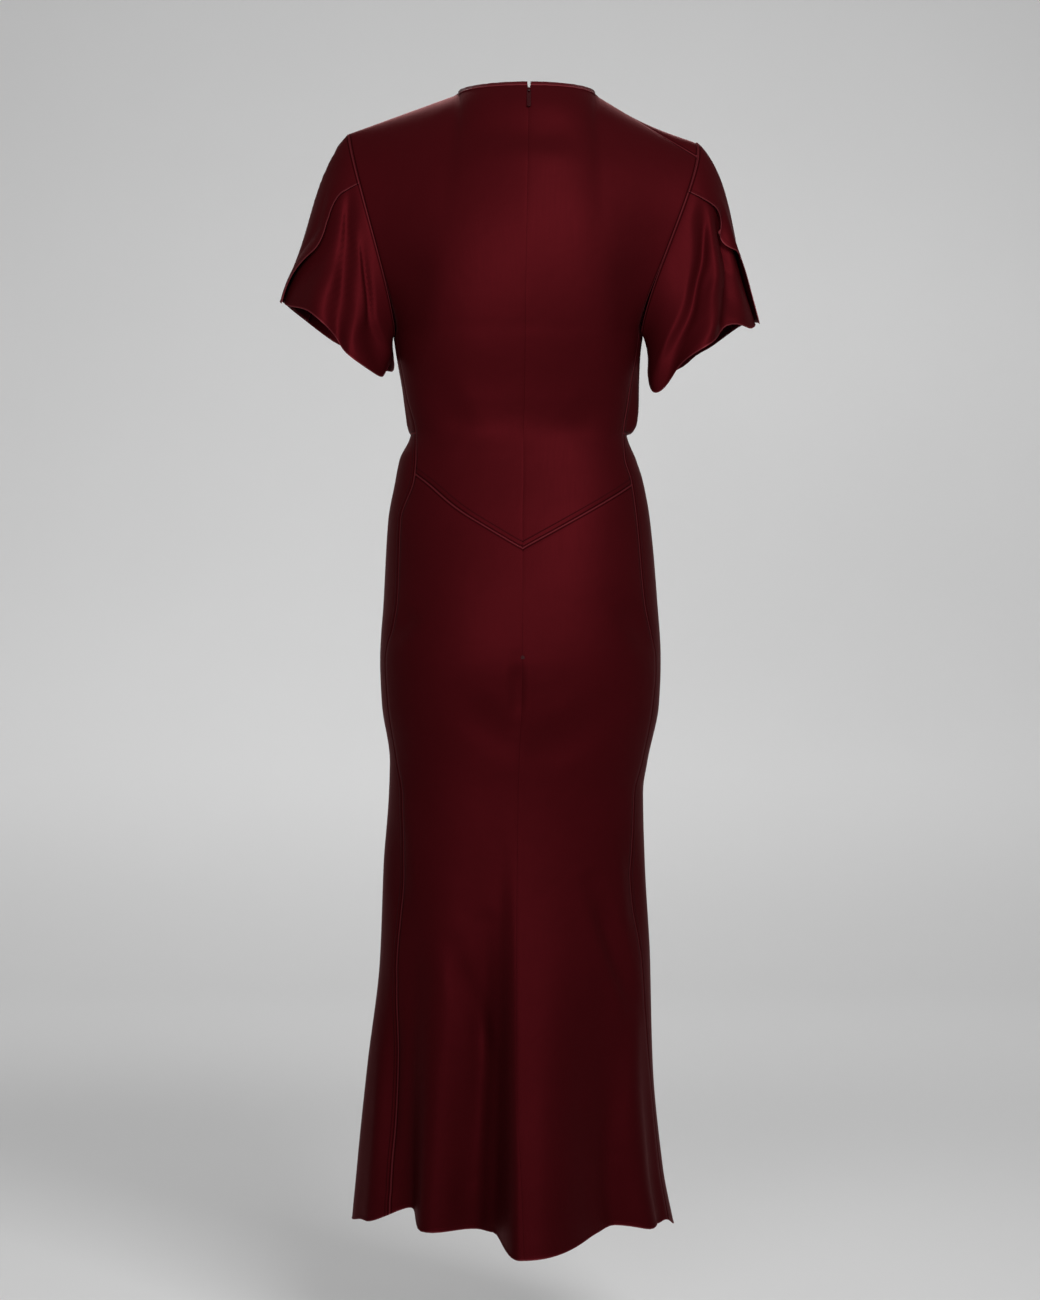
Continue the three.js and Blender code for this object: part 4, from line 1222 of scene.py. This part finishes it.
def lacquer():
    shader = Shader("zip_metal", coat_roughness=0.2, ior=1.2)
    place = shader.space()
    orange_peel = shader.noise(place, 1400.0, 2.0)
    rubbed = shader.fade(shader.noise(place, 420.0, 4.0, 0.65), 0.24, 0.33)
    base = shader.blend(rubbed, (0.017, 0.0009, 0.0016, 1), (0.05, 0.012, 0.013, 1))
    shader.set(shader.surface, {
        "Base Color": base,
        "Metallic": rubbed * 0.7,
        "Roughness": 0.28 + orange_peel * 0.18 + rubbed * 0.1,
        "Coat Weight": 0.04 - rubbed * 0.03,
        "Normal": shader.relief(orange_peel, MM * 0.05),
    })
    return shader.material


BINDING, TAPE, LACQUER = bias_binding(), woven_tape(), lacquer()

# %% [markdown]
# The studio is plain and soft: a pale floor that sweeps up behind, and a grey surround. The sweep's paint
# also has a faint painted glow, which brightens the backdrop. Two wide lights are on the camera's side, the
# key up to the right and a weak fill lower down on the left. The third shines on the dress from beyond it,
# and the last one is for the backdrop.

# %% Floor, light and camera
FLOOR_Z = -1.42
STUDIO_GREY = 0.32


def grey(level):
    return (level, level, level, 1)


def area_light(name, place, target, size, power, spread):
    light = bpy.data.lights.new(name, "AREA")
    light.shape = "RECTANGLE"
    light.size, light.size_y = size
    light.energy = power
    light.spread = math.radians(spread)
    lamp = in_scene(name, light)
    lamp.location = place
    lamp.rotation_euler = (Vector(target) - Vector(place)).to_track_quat("-Z", "Y").to_euler()


LIGHTS = [  # name, place, target, size, watts, spread in degrees
    ("key", (1.5, -3.4, 1.5), (0, 0, 0.2), (2.0, 2.0), 37, 76),
    ("fill", (-0.9, -4.2, 0.1), (0, 0, 0.05), (2.0, 0.9), 11, 44),
    ("front", (-0.1, 2.4, 1.9), (0, 0, -0.2), (2.4, 1.0), 9, 64),
    ("backdrop", (0, 2.9, 2.3), (0, 3.0, FLOOR_Z), (5.0, 1.0), 11, 80),
]
for light in LIGHTS:
    area_light(*light)

STAGE_TURN = 1.6  # radius of the sweep between floor and wall
STAGE_BACK = 3.4
STAGE_WIDE = 14.0


def stage_point(share, across):
    """The floor runs back, turns up in a quarter circle and ends as a wall."""
    front, wall = 6.0, 5.0
    arc = STAGE_TURN * math.pi / 2
    flat = front + STAGE_BACK
    along = share * (flat + arc + wall)
    if along < flat:
        return Vector((across, along - front, FLOOR_Z))
    turn = min((along - flat) / STAGE_TURN, math.pi / 2)
    up = max(along - flat - arc, 0)
    back, rise = STAGE_TURN * math.sin(turn), STAGE_TURN * (1 - math.cos(turn))
    return Vector((across, STAGE_BACK + back, FLOOR_Z + rise + up))


def stage():
    bm = bmesh.new()
    bmesh.ops.create_grid(bm, x_segments=2, y_segments=120, size=0.5)
    for vert in bm.verts:
        vert.co = stage_point(vert.co.y + 0.5, vert.co.x * STAGE_WIDE)
    floor = piece_from(bm, "studio_floor")
    paint = Shader("studio_paint", roughness=0.95)
    grain = paint.noise(paint.space(), 3.0)
    height = paint.node("ShaderNodeSeparateXYZ", (), {"Vector": paint.space()}, output="Z")
    low = paint.fade(height, FLOOR_Z, FLOOR_Z + 0.5)
    wall = paint.blend(grain, grey(0.78), grey(0.8))
    paint.set(paint.surface, {
        "Base Color": paint.blend(low, wall, grey(0.66)),
        # Painted glow: the floor and wall give off a faint light of their own, which brightens the backdrop.
        "Emission Color": grey(1),
        "Emission Strength": 0.03,
    })
    floor.data.materials.append(paint.material)


stage()
world = bpy.data.worlds.new("studio")
bpy.context.scene.world = world
world.use_nodes = True
world.node_tree.nodes["Background"].inputs["Color"].default_value = grey(STUDIO_GREY)
bpy.context.scene.view_settings.view_transform = "Standard"

EYE = (0, -3.2, -0.63)
camera = bpy.data.cameras.new("camera")
camera.lens = 78.4
camera.sensor_width = 36
eye = in_scene("camera", camera)
eye.location = EYE
eye.rotation_euler = (math.radians(90), 0, 0)
bpy.context.scene.camera = eye

# %% [markdown]
# A table lists the size that each piece of cloth is cut to, in millimetres, and its flat area in square
# metres. Each piece then gets its finish, the body that it moves with and the solid it stands for.

# %% Finish
CUTS = {  # width, length, area
    "bodice_back": (232, 540, 0.083),
    "bodice_front": (545, 420, 0.156),
    "skirt_back": (250, 835, 0.134),
    "skirt_side": (165, 900, 0.109),
    "skirt_front": (434, 895, 0.268),
    "sleeve_back_petal": (325, 215, 0.0375),
    "sleeve_front_petal": (335, 215, 0.0375),
    "neck_binding": (16, 400, 0.0062),
    "zip_tape": (11, 654, 0.0072),
}
HANGS_FROM = {
    "skirt_back": "bodice_back_right_cloth",
    "skirt_side": "bodice_front_cloth",
    "skirt_front": "bodice_front_cloth",
    "sleeve_back_petal": "bodice_front_cloth",
    "sleeve_front_petal": "bodice_front_cloth",
    "neck_binding": "bodice_front_cloth",
    "zip_tape": "bodice_back_right_cloth",
}
skirt_pairs = [panel for pair in skirts.values() for panel in pair]
panels = [*backs.values(), front, *skirt_pairs, skirt_front, *petals.values()]


def dress_piece(piece, material, body="dress", node=None):
    piece.data.materials.append(material)
    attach(piece, body)
    if node:
        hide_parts(node)


def cut_sheet(piece):
    kind = next(key for key in CUTS if piece.name.startswith(key))
    held_by = [HANGS_FROM[kind]] if kind in HANGS_FROM else []


for piece in panels:
    dress_piece(piece, SATIN, node=piece.name.removesuffix("_cloth"))
    cut_sheet(piece)
dress_piece(binding, BINDING, node="neck_binding")
cut_sheet(binding)
for name, tape in tapes.items():
    dress_piece(tape, TAPE, node=f"zip_tape_{name}")
    cut_sheet(tape)
for extra in (coils, stitches):
    dress_piece(extra, TAPE)
dress_piece(slider, LACQUER, node="zip_slider")
dress_piece(tab, LACQUER, body="pull_tab", node="zip_pull_tab")
